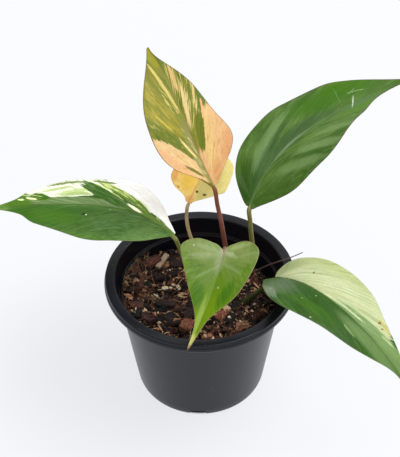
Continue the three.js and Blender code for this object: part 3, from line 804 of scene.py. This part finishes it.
def patch(x, y, jag, tear, start, end, width, blunt=2.5, soft=None):
    """1 inside a long patch of the flat blade and 0 outside: the distances along and across
    it, as shares of its half size, raised to blunt, add to less than 1. Its border is as wide
    as soft, or about half a millimetre. jag, a noise along the veins, breaks the patch's ends
    into fingers, and the finer tear roughens its sides. A patch on one half of the leaf stops
    at the midrib."""
    soft = soft or 0.05 + 0.4 / width
    start, end = np.array(start, float), np.array(end, float)
    half = np.linalg.norm(end - start) / 2
    way = (end - start) / 2 / half
    middle = (start + end) / 2
    push = min(0.45, 4.5 / half)
    along = (x - middle[0]) * (way[0] / half) + (y - middle[1]) * (way[1] / half) + jag * push
    over = (x - middle[0]) * (2 * way[1] / width) - (y - middle[1]) * (2 * way[0] / width)
    ragged = abs(over + tear * (0.7 / width))
    inside = (abs(along) ** blunt + ragged**blunt).step(1 + soft, 1 - soft)
    if start[0] * end[0] > 0.5:
        inside = inside * (x * float(np.sign(start[0]))).step(-0.2, 0.4)
    return inside


def glow_with(made, colour, strength):
    """Sets the light that the shader gives off."""
    shader = made.node_tree.nodes["Principled BSDF"]
    made.node_tree.links.new(colour.socket, shader.inputs["Emission Color"])
    shader.inputs["Emission Strength"].default_value = strength


def leaf_finish(name, leaf, marks):
    """Waxy leaf tissue: two greens in soft bands between the veins, then each mark in turn,
    most of them the marbling and, on a few leaves, some painted sheen and shade, then the
    veins, the midrib, the margin, and a duller underside. Fine lines run along the veins
    throughout. A mark is a patch: its colour, its strength, where it starts and ends across
    and along the blade, its width, and perhaps how blunt and soft it is and the level of
    grain above which it shows, which breaks it into flecks. Light that comes through pale
    tissue is painted as a glow: a little emission of the colour times itself."""
    made, place = new_finish(name)
    x, y, vein, rim, lateral, upper = (
        place.attribute(key) for key in ("across", "along", "vein", "rim", "lateral", "upper"))
    beside = abs(x)
    seed = leaf["length"]
    fine = place.vector(vein, beside * 0.08, seed).noise(2.6, 3)
    band = place.vector(vein, beside * 0.5, seed + 3).noise(0.08, 2)
    mottle = place.vector(vein, beside * 0.9, seed + 7).noise(0.45, 5)
    grain = place.vector(vein, beside * leaf.get("streak", 0.5), seed + 5).noise(0.5, 3)
    tear = (place.vector(vein, beside * 0.45, seed + 8).noise(1.1, 3) - 0.5) * 4
    jag = (place.vector(vein * 0.9, beside * 0.07, seed + 9).noise(1, 3) - 0.5) * 4
    cloud, speckle = place.noise(45, 2), place.noise(700, 2)
    bands = (band * 0.5 + cloud * 0.4 + mottle * 0.1).step(0.36, 0.64)
    colour = bands.mix(leaf["deep"], leaf["fresh"])
    colour = (mottle.step(0.42, 0.75) * 0.3).mix(colour, leaf["pale"])
    colour = (fine.step(0.5, 0.8) * 0.08).mix(colour, leaf["pale"])
    for tone, strength, first, last, width, *rest in marks:
        inside = patch(x, y, jag, tear, first, last, width, *rest[:2]) * strength
        for level in rest[2:]:
            inside = inside * grain.step(level - 0.01, level + 0.07)
        colour = inside.mix(colour, tone)
    for (tone, strength), share in (
            (leaf["vein"], lateral.step(0.5, 0.08) * beside.step(0.8, 3)),
            (leaf["rib"], (beside + y * (0.5 / leaf["length"])).step(0.95, 0.3)),
            (leaf["rim"], rim.step(0.42, 0.1)), ((leaf["under"], 0.5), 1 - upper)):
        colour = (share * strength).mix(colour, tone)
    colour = colour.scaled(0.74 + mottle * 0.28 + speckle * 0.24)
    roughness = 0.31 + cloud * 0.1 + fine * 0.1 + (1 - upper) * 0.15
    height = fine * 0.2 + speckle * 0.25 + place.noise(330, 2) * 0.4
    # Painted glow: emission of the colour times itself, standing in for light that shines through
    # the tissue
    clear = colour.node("VectorMath", {"operation": "MULTIPLY"}, {0: colour, 1: colour})
    glow_with(made, clear, leaf.get("glow", 0))
    return finish_with(made, colour, roughness, height, 0.12, 0.17)


def add_leaf(name, marks, slot="petiole", flatness=1, **leaf):
    """A leaf: its blade, and its stalk, which runs on under the midrib and dies out there."""
    rings, values = blade_points(leaf)
    add_piece("blade_" + name, rings, leaf_finish("leaf_" + name, leaf, marks), "leaf_" + name,
              ["blade_" + name], blade_faces(*rings.shape[:2]), **values)
    along, _, normal = (axis[0] for axis in leaf_axes(leaf, np.zeros(1)))
    neck = [np.array(leaf["base"]) - along * back - normal * NECK_RADIUS * 0.95
            for back in (2, 0.3, -5)]
    foot, top = leaf["radii"]
    points, share = stalk([*leaf["petiole"], *neck], foot, top, flatness, groove=0.14,
                          collar=0.16)
    shrink = smooth_step(share, 0.9, 1).reshape(*points.shape[:2], 1)
    line = points.mean(1, keepdims=True)
    points = line + (points - line) * (1 - 0.75 * shrink)
    add_piece("petiole_" + name, points, stalk_finish("stalk_" + name, *leaf["stalk"]), slot,
              ["petiole_" + name], share=share)


# Heart leaf
# The shortest leaf, in front, a smooth plain yellow green heart. It hangs forward over the
# mix on a stout olive stalk, with a pale pink flush at the sinus and a dry hair at its tip.

marks = [
    ((92, 128, 0), 0.95, (1, 20), (-1, 80), 36, 2.2, 0.7),
    ((112, 144, 0), 0.75, (-2, 32), (0, 66), 16, 2, 0.8),
    ((58, 106, 0), 0.8, (10, 24), (5, 42), 8, 2, 0.9),
    ((58, 106, 0), 0.8, (-12, 20), (-7, 38), 7, 2, 0.9),
    # Painted sheen: a pale band across the base, by the sinus
    ((134, 150, 86), 0.75, (-24, 3), (25, 2), 19, 2, 0.9),
    ((100, 128, 52), 0.7, (-8, 4), (-10, 20), 11, 2, 0.9),
    ((98, 126, 50), 0.7, (6, 7), (5, 26), 8, 2, 0.9),
    ((136, 148, 104), 0.7, (0, -4), (1, 16), 6, 2, 0.9),
    ((152, 166, 118), 0.5, (19, 8.8), (1, 3.2), 3.6, 2, 0.95),
    ((150, 164, 116), 0.45, (18, 0), (1, 2), 3.4, 2, 0.95),
    ((176, 188, 144), 0.6, (-1, 1.6), (-9, 4.6), 3, 2, 0.95),
    ((164, 178, 120), 0.5, (-3, -0.4), (-16, -4.4), 3.4, 2, 0.95),
    ((142, 160, 104), 0.4, (0.4, 11), (13, 24), 1.8, 2, 0.95),
    ((142, 160, 104), 0.4, (-0.4, 9), (-15, 16), 1.8, 2, 0.95),
    ((168, 152, 132), 0.8, (0, -4), (0, 4), 4, 2, 0.9),
    ((160, 184, 84), 0.5, (2.4, 34), (0.4, 66), 3, 2, 0.9),
    ((206, 206, 110), 0.8, (0, 57), (0, 69), 4, 2, 0.6),
    ((172, 142, 104), 1, (0, 64), (0, 68), 4),
    ((204, 220, 190), 0.8, (-3.2, 25.4), (-3.1, 26.6), 0.7),
    ((190, 206, 170), 0.8, (18, 1), (19, 1.6), 0.9)]
add_leaf(
    "heart", marks, base=(14.5, -12, 122.5), length=66, azimuth=(-103, -111, -121),
    pitch=(-15, -22, -30), roll=(-4, -5, 2), fold=(12, 12, 9), wave=(0.5, 2, 0), curl=0.01,
    spacing=8, swell=0.35,
    right=[(5, -3), (17.5, -4), (26, 3.5), (19.5, 20), (13.5, 31.5), (3.5, 48.5)],
    left=[(3, -3.5), (14, -6), (23, 2), (19.5, 22), (14, 33.5), (4, 47.5)],
    petiole=[(20.5, 0, 76), (20.6, -1.2, 84), (20, -2, 95), (17.6, -3.6, 110)], radii=(2.1, 1.05),
    stalk=((92, 60, 40), (122, 104, 68), (90, 80, 48)), deep=(72, 104, 10), fresh=(102, 134, 34),
    pale=(126, 148, 72), vein=((146, 160, 114), 0.3), rib=((132, 146, 96), 0.2),
    under=(140, 156, 100), rim=((168, 140, 108), 0.55))

# Tall leaf
# The leaf that stands up at the back, marbled olive and yellow, with a whole peach sector
# beside its midrib. Its slim stalk is red brown, darker towards the stem.

marks = [
    ((164, 148, 36), 0.75, (-4, 34), (-19, 66), 11, 2, 0.6),
    ((136, 130, 26), 0.8, (-10, 60), (-6, 84), 10, 2, 0.5),
    ((186, 166, 60), 0.6, (-18, 50), (-13, 78), 5, 2, 0.8),
    ((96, 110, 10), 0.8, (-9, 26), (-27, 50), 8, 2.2, 0.7),
    ((84, 108, 8), 0.8, (13, 42), (14, 66), 8, 2.2, 0.7),
    ((72, 96, 6), 0.8, (-11, 26), (-14, 90), 24, 2.5, 0.2, 0.51),
    ((116, 122, 28), 0.7, (-5, 40), (-22, 66), 3.4, 2, 0.7),
    ((116, 122, 28), 0.7, (-4, 54), (-15, 82), 3, 2, 0.7),
    ((150, 140, 32), 0.7, (-12, 42), (-23, 58), 4, 2, 0.7),
    ((196, 176, 92), 0.6, (-6, 30), (-24, 60), 16, 2.5, 0.2, 0.58),
    ((196, 174, 80), 0.6, (-6, 46), (-14, 84), 17, 2.5, 0.2, 0.56),
    ((66, 96, 4), 0.85, (4, 40), (6, 86), 16, 2.5, 0.2, 0.52),
    ((226, 200, 128), 0.9, (2, 36), (9, 84), 15, 2.5, 0.2, 0.53),
    ((228, 184, 128), 1, (5, -5), (22.5, 49), 25),
    ((222, 156, 106), 0.65, (12, 2), (24, 30), 10, 2, 0.8),
    ((228, 196, 120), 0.7, (5, 10), (14, 44), 6, 2, 0.6),
    ((204, 142, 84), 0.7, (3, -2), (9, 14), 7, 2, 0.8),
    ((214, 146, 92), 0.6, (4, -2), (18, 40), 22, 2.5, 0.2, 0.56),
    ((188, 158, 66), 0.7, (4, 8), (15, 42), 14, 2.5, 0.2, 0.62),
    ((108, 116, 26), 1, (3, 22), (10, 46), 4.8),
    ((86, 104, 8), 0.8, (3, 22), (10, 46), 5, 2.5, 0.2, 0.54),
    ((218, 184, 130), 1, (-2, 3), (-28, 37), 14.5),
    ((222, 160, 112), 0.6, (-10, 8), (-27, 33), 6, 2, 0.8),
    ((206, 156, 80), 0.7, (-3, 5), (-24, 34), 13, 2.5, 0.2, 0.56),
    ((110, 96, 22), 0.9, (-0.5, 0), (-12, 10), 2.4),
    ((108, 104, 30), 0.9, (-4, 8), (-13, 18), 2),
    ((132, 132, 68), 0.9, (-1.2, 3), (-2.2, 44), 5.6, 2.5, 0.3),
    ((208, 192, 130), 0.9, (-2.4, 8), (-3, 40), 5, 2.5, 0.2, 0.56),
    ((210, 190, 104), 0.9, (-1.5, 50), (-7.4, 85), 2),
    ((222, 200, 110), 0.9, (-3, 48), (-8, 72), 5, 2.5, 0.2, 0.55),
    ((236, 214, 140), 0.9, (-3, 20), (-8, 33), 1.4),
    ((236, 196, 130), 0.9, (-6, 12), (-10, 21), 1.5),
    ((204, 184, 84), 0.6, (-10, 38), (-18, 52), 1.2),
    ((230, 202, 138), 0.95, (1.5, 38), (6.2, 66), 2.4, 2, 0.5),
    ((222, 194, 122), 0.9, (9, 48), (13.2, 64), 1.5),
    ((236, 178, 124), 0.9, (11.6, 42), (14, 53), 1.5),
    ((226, 184, 118), 0.85, (3, 62), (4.6, 80), 2),
    ((146, 140, 10), 0.8, (-1, 80), (-1, 98), 9, 2.5, 0.5)]
add_leaf(
    "tall", marks, base=(9, 12.5, 152.5), length=95, azimuth=(132, 118, 130), pitch=(46, 38, 27),
    roll=(-4, 3, 4), fold=(14, 9, 13), wave=(0.7, 2.5, 1), curl=0.02, spacing=8, swell=0.35,
    right=[(10.5, 7), (20.5, 17), (24, 27.5), (19, 43), (12.5, 64.5), (1.5, 86.5)],
    left=[(9, 8.5), (20.5, 18), (25.5, 31), (24.5, 51), (16.5, 71), (3, 92)],
    petiole=[(20, 2, 74), (18.5, 6, 89.3), (15.9, 8, 107), (13.1, 10, 126.2),
             (10.9, 11.5, 138.1)], radii=(2.2, 1.3), slot="petiole_red",
    stalk=((96, 46, 40), (142, 80, 58), (112, 50, 38)), deep=(90, 106, 14), fresh=(136, 136, 38),
    pale=(176, 160, 68), vein=((150, 140, 66), 0.12), rib=((146, 118, 76), 0.5),
    under=(170, 156, 104), rim=((108, 78, 50), 0.85))

# Left leaf
# The leaf that reaches out to the left. Its near half is deep green, and its far half is
# white from the base to the middle and marbled beyond. Its stalk is yellow green.

marks = [
    ((96, 126, 62), 0.7, (-6, 0), (-26, 22), 16, 2, 0.9),
    ((108, 140, 88), 0.5, (-13, -4), (-12, 96), 32, 2.5, 0.4, 0.53),
    ((48, 88, 12), 0.4, (-15, 10), (-16, 90), 28, 2.5, 0.4, 0.47),
    ((50, 99, 0), 0.8, (-12, 60), (-8, 112), 20, 2, 0.9),
    ((40, 90, 0), 0.5, (-4, 40), (-8, 90), 5, 2, 0.9),
    ((240, 239, 237), 1, (5.5, -6), (33, 53), 31),
    ((224, 225, 208), 1, (16.5, 46), (8.5, 103), 15),
    ((188, 204, 140), 0.9, (12, 60), (8, 80), 3),
    ((168, 188, 116), 0.9, (9, 58), (7, 78), 2.4),
    ((178, 196, 130), 0.85, (13.5, 72), (10.5, 90), 2),
    ((150, 176, 96), 0.9, (17, 50), (9, 100), 13, 2.5, 0.2, 0.62),
    ((104, 128, 76), 1, (2.9, 30), (3, 104), 5.8),
    ((138, 158, 112), 0.7, (2.6, 38), (3, 100), 5, 2.5, 0.2, 0.52),
    ((84, 116, 44), 1, (1.4, 8), (4.6, 40), 5.2, 3),
    ((108, 134, 62), 1, (-0.5, -6), (3.4, 30), 3),
    ((108, 140, 52), 1, (3.4, 20), (20, 57), 4.6),
    ((206, 216, 140), 0.95, (3, 14), (20, 57), 4.2, 2.5, 0.2, 0.52),
    ((242, 242, 214), 1, (2, 25), (5.4, 36), 2.1, 2, 0.4),
    ((204, 216, 140), 0.9, (7.5, 39), (13, 50), 1.6),
    ((206, 218, 146), 0.9, (13.6, 50), (17, 58), 1.7),
    ((58, 100, 24), 1, (3, 38), (17, 66), 7.2, 3.2),
    ((104, 134, 74), 0.7, (3, 36), (17, 66), 7, 3, 0.2, 0.5),
    ((110, 136, 62), 0.9, (20.6, 47), (19.2, 60), 1.8),
    ((112, 136, 66), 0.9, (17.8, 64), (14.8, 86), 1.6),
    ((64, 108, 8), 1, (5, 85), (8, 97), 5),
    ((80, 118, 30), 1, (4, 96), (1, 126), 14),
    ((222, 228, 172), 0.95, (3, 88), (9, 104), 7, 2.5, 0.2, 0.58),
    ((236, 240, 190), 0.95, (4.6, 93), (5.8, 100), 1.3),
    ((236, 240, 190), 0.95, (4.4, 101), (4.6, 105), 1),
    ((112, 146, 66), 0.6, (-1, 110), (0, 124), 6, 2, 0.8),
    ((70, 112, 0), 0.5, (-14, 66), (-8, 96), 12, 2, 0.9),
    ((26, 56, 6), 0.9, (-8, 60), (-11, 61.5), 2),
    ((224, 236, 206), 1, (-10.4, 58.2), (-9.4, 58.8), 0.9),
    ((150, 170, 120), 0.8, (-2, 44), (-3, 44.8), 0.8)]
# The glow is painted light: emission that brightens the white tissue as if light shone through it
add_leaf(
    "left", marks, base=(-16.5, 5.5, 119), length=122, azimuth=(140, 172, 181), pitch=(17, -2, -2),
    roll=(-9, 4, 9), fold=(10, 6, 12), wave=(0.8, 3, 2), curl=0.012, spacing=10, swell=0.3,
    right=[(7.5, 8.5), (18, 22.5), (25.5, 41), (21.5, 56.5), (14, 92), (5, 106.5)],
    left=[(13.5, 4.5), (25.5, 14), (34.5, 39), (29, 64), (17.5, 91.5), (6.5, 104)],
    petiole=[(16.5, 2.5, 58), (9.5, 5, 60), (3.1, 5.5, 70), (-3.3, 5.5, 81),
             (-9.5, 5.5, 95.5), (-12.5, 5.4, 107)], radii=(2.2, 1.35),
    stalk=((104, 88, 46), (134, 136, 66), (96, 96, 48)), glow=0.44, deep=(44, 86, 4),
    fresh=(82, 120, 42), pale=(112, 142, 80), vein=((76, 112, 40), 0.12), rib=((64, 98, 26), 0.5),
    under=(122, 142, 96), rim=((140, 142, 92), 0.35))

# Yellow leaf
# The small old leaf behind, turning yellow before it drops, with brown spots. It is thin, and
# the light that shines through it is a painted glow. Its thin tan stalk bows round to the stem.

marks = [
    ((210, 202, 136), 0.95, (14, -4), (14, 48), 27, 2.5, 0.4),
    ((244, 212, 98), 0.7, (-4, 6), (-9, 24), 9, 2, 0.8),
    ((238, 188, 116), 0.8, (-17, 6), (-17, 20), 7, 2, 0.8),
    ((222, 176, 110), 0.7, (0, -3), (0, 5), 6, 2, 0.8),
    ((110, 90, 30), 0.95, (1.4, 8), (3.2, 8.4), 1.6),
    ((106, 84, 30), 0.95, (7, 7.4), (9.4, 8.4), 1.5),
    ((190, 150, 60), 0.8, (-9.6, 6), (-10.8, 7), 1.4),
    ((80, 58, 22), 0.95, (-13.4, 5.4), (-14.8, 7), 1.6)]
add_leaf(
    "yellow", marks, base=(-7, 20, 133), length=44, azimuth=(56, 63, 76), pitch=(38, 27, 18),
    roll=(-2, 0, -1), fold=(11, 10, 14), wave=(0.5, 2, 0), curl=0.01, spacing=6, swell=0.35,
    right=[(3.5, 2), (17, 11), (20.5, 14.5), (19, 27.5), (11, 34.5), (3.5, 40)],
    left=[(5, 3), (13.5, 6.5), (18, 13), (16, 25), (11.5, 34), (3.5, 40)],
    petiole=[(18, 2, 62), (12.5, 6, 63), (9.6, 8, 69.1), (5.6, 10, 78.3), (0.2, 13, 91.6),
             (-5.6, 16, 106.5), (-7.8, 18, 115.8), (-8.2, 19.2, 124.5)], radii=(1.6, 1.1),
    stalk=((166, 144, 98), (196, 174, 128), (166, 130, 86)), glow=0.38, deep=(244, 214, 134),
    fresh=(248, 222, 154), pale=(250, 232, 174), vein=((222, 184, 96), 0.3),
    rib=((204, 160, 104), 0.5), under=(226, 204, 132), rim=((206, 160, 90), 0.5))

# Upper right leaf
# The largest leaf, plain deep green. A blue grey band and a pale line on its midrib, soft
# lighter bands between its veins and darker lines between them are painted sheen and shade.
# Its stalk is olive with a browner side, and a few pale scratches cross the blade near the tip.

marks = [
    ((38, 74, 0), 0.9, (-6, -8), (-12, 28), 22, 2, 0.9),
    # Painted sheen: a blue grey band along the midrib and a pale line on it
    ((56, 86, 46), 0.7, (-2, 20), (-2, 80), 12, 2, 0.9),
    ((140, 160, 126), 0.6, (0.2, 34), (0.2, 62), 2, 2, 0.8),
    # Painted sheen: a lighter band between the veins at the left
    ((108, 138, 84), 0.75, (-7, 22), (-19, 58), 7, 2, 0.6),
    ((62, 100, 10), 0.6, (-11, 4), (-21, 26), 6, 2, 0.9),
    # Painted sheen: a blue grey line beside that band
    ((56, 86, 42), 0.6, (-4.5, 22), (-15, 62), 3.6, 2, 0.8),
    # Painted sheen and shade: lighter bands between the veins at the right, with a darker line
    # between them
    ((122, 150, 90), 0.55, (10, 26), (28, 52), 8, 2, 0.9),
    ((122, 150, 92), 0.6, (10, 44), (28, 72), 7, 2, 0.9),
    ((116, 146, 82), 0.5, (10, 64), (22, 88), 6, 2, 0.9),
    ((52, 88, 10), 0.6, (9, 36), (27, 62), 4, 2, 0.8),
    ((66, 98, 28), 0.75, (6, -2), (20, 24), 17, 2, 0.8),
    ((92, 134, 6), 0.6, (-20, 84), (-10, 108), 8, 2, 0.9),
    ((58, 106, 0), 0.85, (-16, 62), (-10, 116), 16, 2, 0.9),
    ((76, 122, 12), 0.6, (6, 84), (2, 134), 14, 2, 0.9),
    ((84, 112, 74), 0.6, (2, 86), (3, 118), 5, 2, 0.9),
    ((206, 224, 196), 0.8, (-5, 99), (4, 94), 0.8),
    ((160, 188, 136), 0.7, (-8.6, 98), (-6.4, 107), 0.5),
    ((160, 188, 136), 0.7, (-10, 102), (-8, 97.5), 0.5),
    ((128, 160, 96), 0.6, (-17, 91.5), (-4, 90), 0.35)]
add_leaf(
    "right_top", marks, base=(30.5, 10, 138), length=134, azimuth=(66, 31, 9), pitch=(39, 17, 21),
    roll=(0, 4, -4), fold=(11, 9, 16), wave=(0.9, 3, 1), curl=0.012, spacing=13, swell=0.4,
    right=[(4, 0), (23.5, 17.5), (31.5, 44), (27, 71.5), (15.5, 96), (4, 113)],
    left=[(6, 3.5), (19.5, 20), (26, 40), (26, 80), (17, 102), (4.5, 126)],
    petiole=[(21.5, 0.5, 76), (28.1, 2.5, 82), (32.3, 4.5, 91), (34.8, 6.3, 99),
             (33.1, 7.8, 107), (32, 8.8, 116), (31.1, 9.4, 126.5)], radii=(2.2, 1.4),
    stalk=((100, 76, 46), (132, 130, 62), (92, 74, 42)), deep=(44, 82, 2), fresh=(90, 122, 52),
    pale=(112, 142, 80), vein=((46, 80, 16), 0.12), rib=((92, 122, 78), 0.6), under=(118, 138, 92),
    rim=((84, 56, 38), 0.9))

# Lower right leaf
# The leaf that bends down over the lip at the right: its far half is cream, lined with thin
# green veins, and its near half is deep green. Its thick stalk lies low over the mix.

marks = [
    ((46, 84, 16), 0.7, (4, 10), (5, 80), 8, 2, 0.9),
    # Painted sheen: a grey blue gloss over the near half at the base, out into the lobe
    ((98, 118, 84), 0.55, (6, -2), (14, 30), 18, 2, 0.9),
    ((132, 148, 120), 0.75, (22, 0), (24, 24), 14, 2, 0.9),
    ((58, 104, 2), 0.55, (17, 26), (12, 66), 9, 2, 0.9),
    ((198, 206, 154), 1, (-13.3, -9), (-13.3, 91), 26, 7),
    ((214, 220, 176), 0.7, (-4, 6), (-12, 64), 8, 2, 0.9),
    ((176, 186, 124), 0.75, (-2, -5), (-17, 20), 9, 2, 0.9),
    ((184, 196, 126), 0.6, (-20, 10), (-20, 66), 7, 2, 0.9),
    ((152, 168, 106), 0.65, (-13, -4), (-13, 88), 24, 6, 0.2, 0.54),
    ((118, 150, 86), 1, (-0.5, 52), (-6, 108), 6, 2.5, 0.5),
    ((176, 200, 140), 0.8, (-2, 50), (-6, 100), 6, 2.5, 0.2, 0.56),
    ((220, 226, 182), 0.7, (-1, 44), (-2.6, 74), 1.2, 2.5, 0.5),
    ((214, 222, 172), 0.8, (-5.4, 86), (-6.6, 96), 1.1),
    ((126, 156, 92), 0.85, (-1, 80), (-1, 124), 11, 2, 0.7),
    ((110, 140, 80), 0.75, (5, 62), (4, 116), 9, 2, 0.8),
    ((196, 178, 84), 0.7, (-11.4, 78), (-9.6, 90), 1.6, 2.5, 0.6),
    ((112, 94, 40), 0.9, (-9, 27.6), (-10, 28.4), 1.2),
    ((126, 98, 42), 0.9, (-9.4, 79), (-10.4, 80.6), 1.4),
    ((126, 98, 42), 0.9, (-8, 83), (-9, 84), 1),
    ((120, 152, 84), 0.8, (8.4, 66), (10, 77), 1.6),
    ((168, 194, 144), 0.8, (21, 51.6), (22, 52.2), 0.7),
    ((150, 180, 124), 0.8, (4, 41.6), (5, 42.2), 0.9),
    ((150, 180, 124), 0.8, (12.4, 38), (13.4, 38.4), 0.7),
    ((150, 184, 130), 0.6, (20, 8), (22, 14), 1.2),
    ((150, 184, 130), 0.6, (17, 17), (19, 18), 0.8)]
add_leaf(
    "right_low", marks, base=(46.5, -6, 92.5), length=117, azimuth=(-47, -46, -38),
    pitch=(41, -10, -49), roll=(-1, -4, -3), fold=(15, 11, 16), wave=(0.6, 2.5, 1), curl=0.05,
    streak=0.12, spacing=9, swell=0.2,
    right=[(3.5, -4.5), (19, 12), (28, 32.5), (21, 61), (16, 82), (4.5, 103)],
    left=[(7, -2), (14.5, 4), (22, 28), (20, 60), (13, 82.5), (5.5, 105)],
    petiole=[(18, 0, 61), (21.5, -4, 61), (25.6, -5.5, 66.3), (31.9, -5.2, 73.2),
             (39.3, -5.3, 81.5)], radii=(3.4, 1.4), flatness=0.8,
    stalk=((48, 58, 20), (70, 90, 30), (96, 66, 42)), deep=(30, 70, 0), fresh=(58, 96, 24),
    pale=(84, 122, 54), vein=((150, 168, 92), 0.16), rib=((96, 124, 66), 0.4),
    under=(130, 148, 104), rim=((140, 146, 100), 0.35))

# Dry tip
# The dry brown hair in which the heart leaf ends, under a millimetre thick. It is the leaf's
# own tip, shrunk and bent up a little as it dried.

TIP_PLACE, TIP_WAY = (-7.4, -68.6, 97.5), (-0.45, -0.74, -0.5)
TIP_LENGTH, TIP_RADIUS, TIP_BEND = 1.6, 0.4, 0.5

route = np.array(TIP_PLACE) + np.outer([-1.5, 0, TIP_LENGTH / 2, TIP_LENGTH], TIP_WAY)
route[-1, 2] += TIP_BEND
points, share = stalk(route, TIP_RADIUS, TIP_RADIUS * 0.3, steps=24)
add_piece("dry_tip_heart", points, stalk_finish(
    "dry_tip_heart", (176, 146, 104), (150, 112, 76), (120, 86, 58), 0.6), "petiole", share=share)

# Studio
# A plain opal table, lit from below, in soft light: an even white surround, a broad lamp
# above at the right and a panel behind. The camera looks down at the pot from the front.

FLOOR_HALF = 4000
# Painted contact shadow: the table glows not at all within the first reach of the pot's axis, and
# fully past the second
PAINTED_SHADOW_REACH, LIT_REACH = 0.0392, 0.0412
TABLE_TONE, TABLE_LIGHT = (0.96, 0.98, 1.01), 0.87
WORLD_TONE, WORLD_LIGHT = (0.97, 0.98, 1.0, 1), 0.55
FOCAL_PIXELS, LONG_SIDE_PIXELS = 1072, 457
LAMP_TARGET = (0, 0, 0.1)
CAMERA_PLACE = (0.1, -481.6, 570.6)
CAMERA_DOWN, CAMERA_ROLL = 42.5, -0.46


def floor_finish():
    """Matt opal acrylic, lit from below, with the faintest mottle. Its glow is cut under the
    foot, a painted contact shadow, and dimmed by a tenth in a pool centred left of the pot,
    a painted shadow."""
    made, place = new_finish("lit_opal_table")
    cloud = place.noise(3, 2)
    reach = place.node("VectorMath", {"operation": "LENGTH"}, {0: place}, 1)
    beside = place.node("VectorMath", {"operation": "DISTANCE"}, {0: place, 1: (-0.06, 0, 0)}, 1)
    # Painted shadow: no glow under the foot, and a tenth less in a pool round a point left of the
    # pot
    light = reach.step(PAINTED_SHADOW_REACH, LIT_REACH) * (beside.step(0.03, 0.14) * 0.1 + 0.9)
    glow_with(made, place.node(
        "VectorMath", {"operation": "SCALE"}, {0: TABLE_TONE, "Scale": light}), TABLE_LIGHT)
    colour = cloud.mix((76, 77, 79), (79, 80, 82))
    return finish_with(made, colour, 0.85 + cloud * 0.1, cloud, 0.01)


corners = np.array([(-1, -1, 0), (1, -1, 0), (1, 1, 0), (-1, 1, 0)]) * FLOOR_HALF
floor = new_mesh("floor", corners, [np.arange(4)[None]], floor_finish())

world = bpy.data.worlds.new("white_surround")
world.use_nodes = True
world.node_tree.nodes["Background"].inputs["Color"].default_value = WORLD_TONE
world.node_tree.nodes["Background"].inputs["Strength"].default_value = WORLD_LIGHT
bpy.context.scene.world = world


def add_lamp(name, place, size, power):
    """A square soft lamp that faces the middle of the plant."""
    light = bpy.data.lights.new(name, "AREA")
    light.size, light.energy = size, power
    lamp = new_object(name, light)
    lamp.location = place
    lamp.rotation_euler = (Vector(LAMP_TARGET) - lamp.location).to_track_quat("-Z", "Y").to_euler()


add_lamp("broad_lamp", (0.8, 0.1, 1.9), 1.6, 37)
add_lamp("back_panel", (0.1, 2.4, 1.9), 2.4, 12)

lens = bpy.data.cameras.new("camera")
lens.sensor_width = 36
lens.lens = FOCAL_PIXELS / LONG_SIDE_PIXELS * lens.sensor_width
lens.clip_start, lens.clip_end = 0.01, 20
camera = new_object("camera", lens)
camera.location = np.array(CAMERA_PLACE) * MM
camera.rotation_mode = "ZYX"
camera.rotation_euler = (np.radians(90 - CAMERA_DOWN), 0, np.radians(CAMERA_ROLL))
bpy.context.scene.camera = camera
bpy.context.scene.view_settings.view_transform = "Standard"
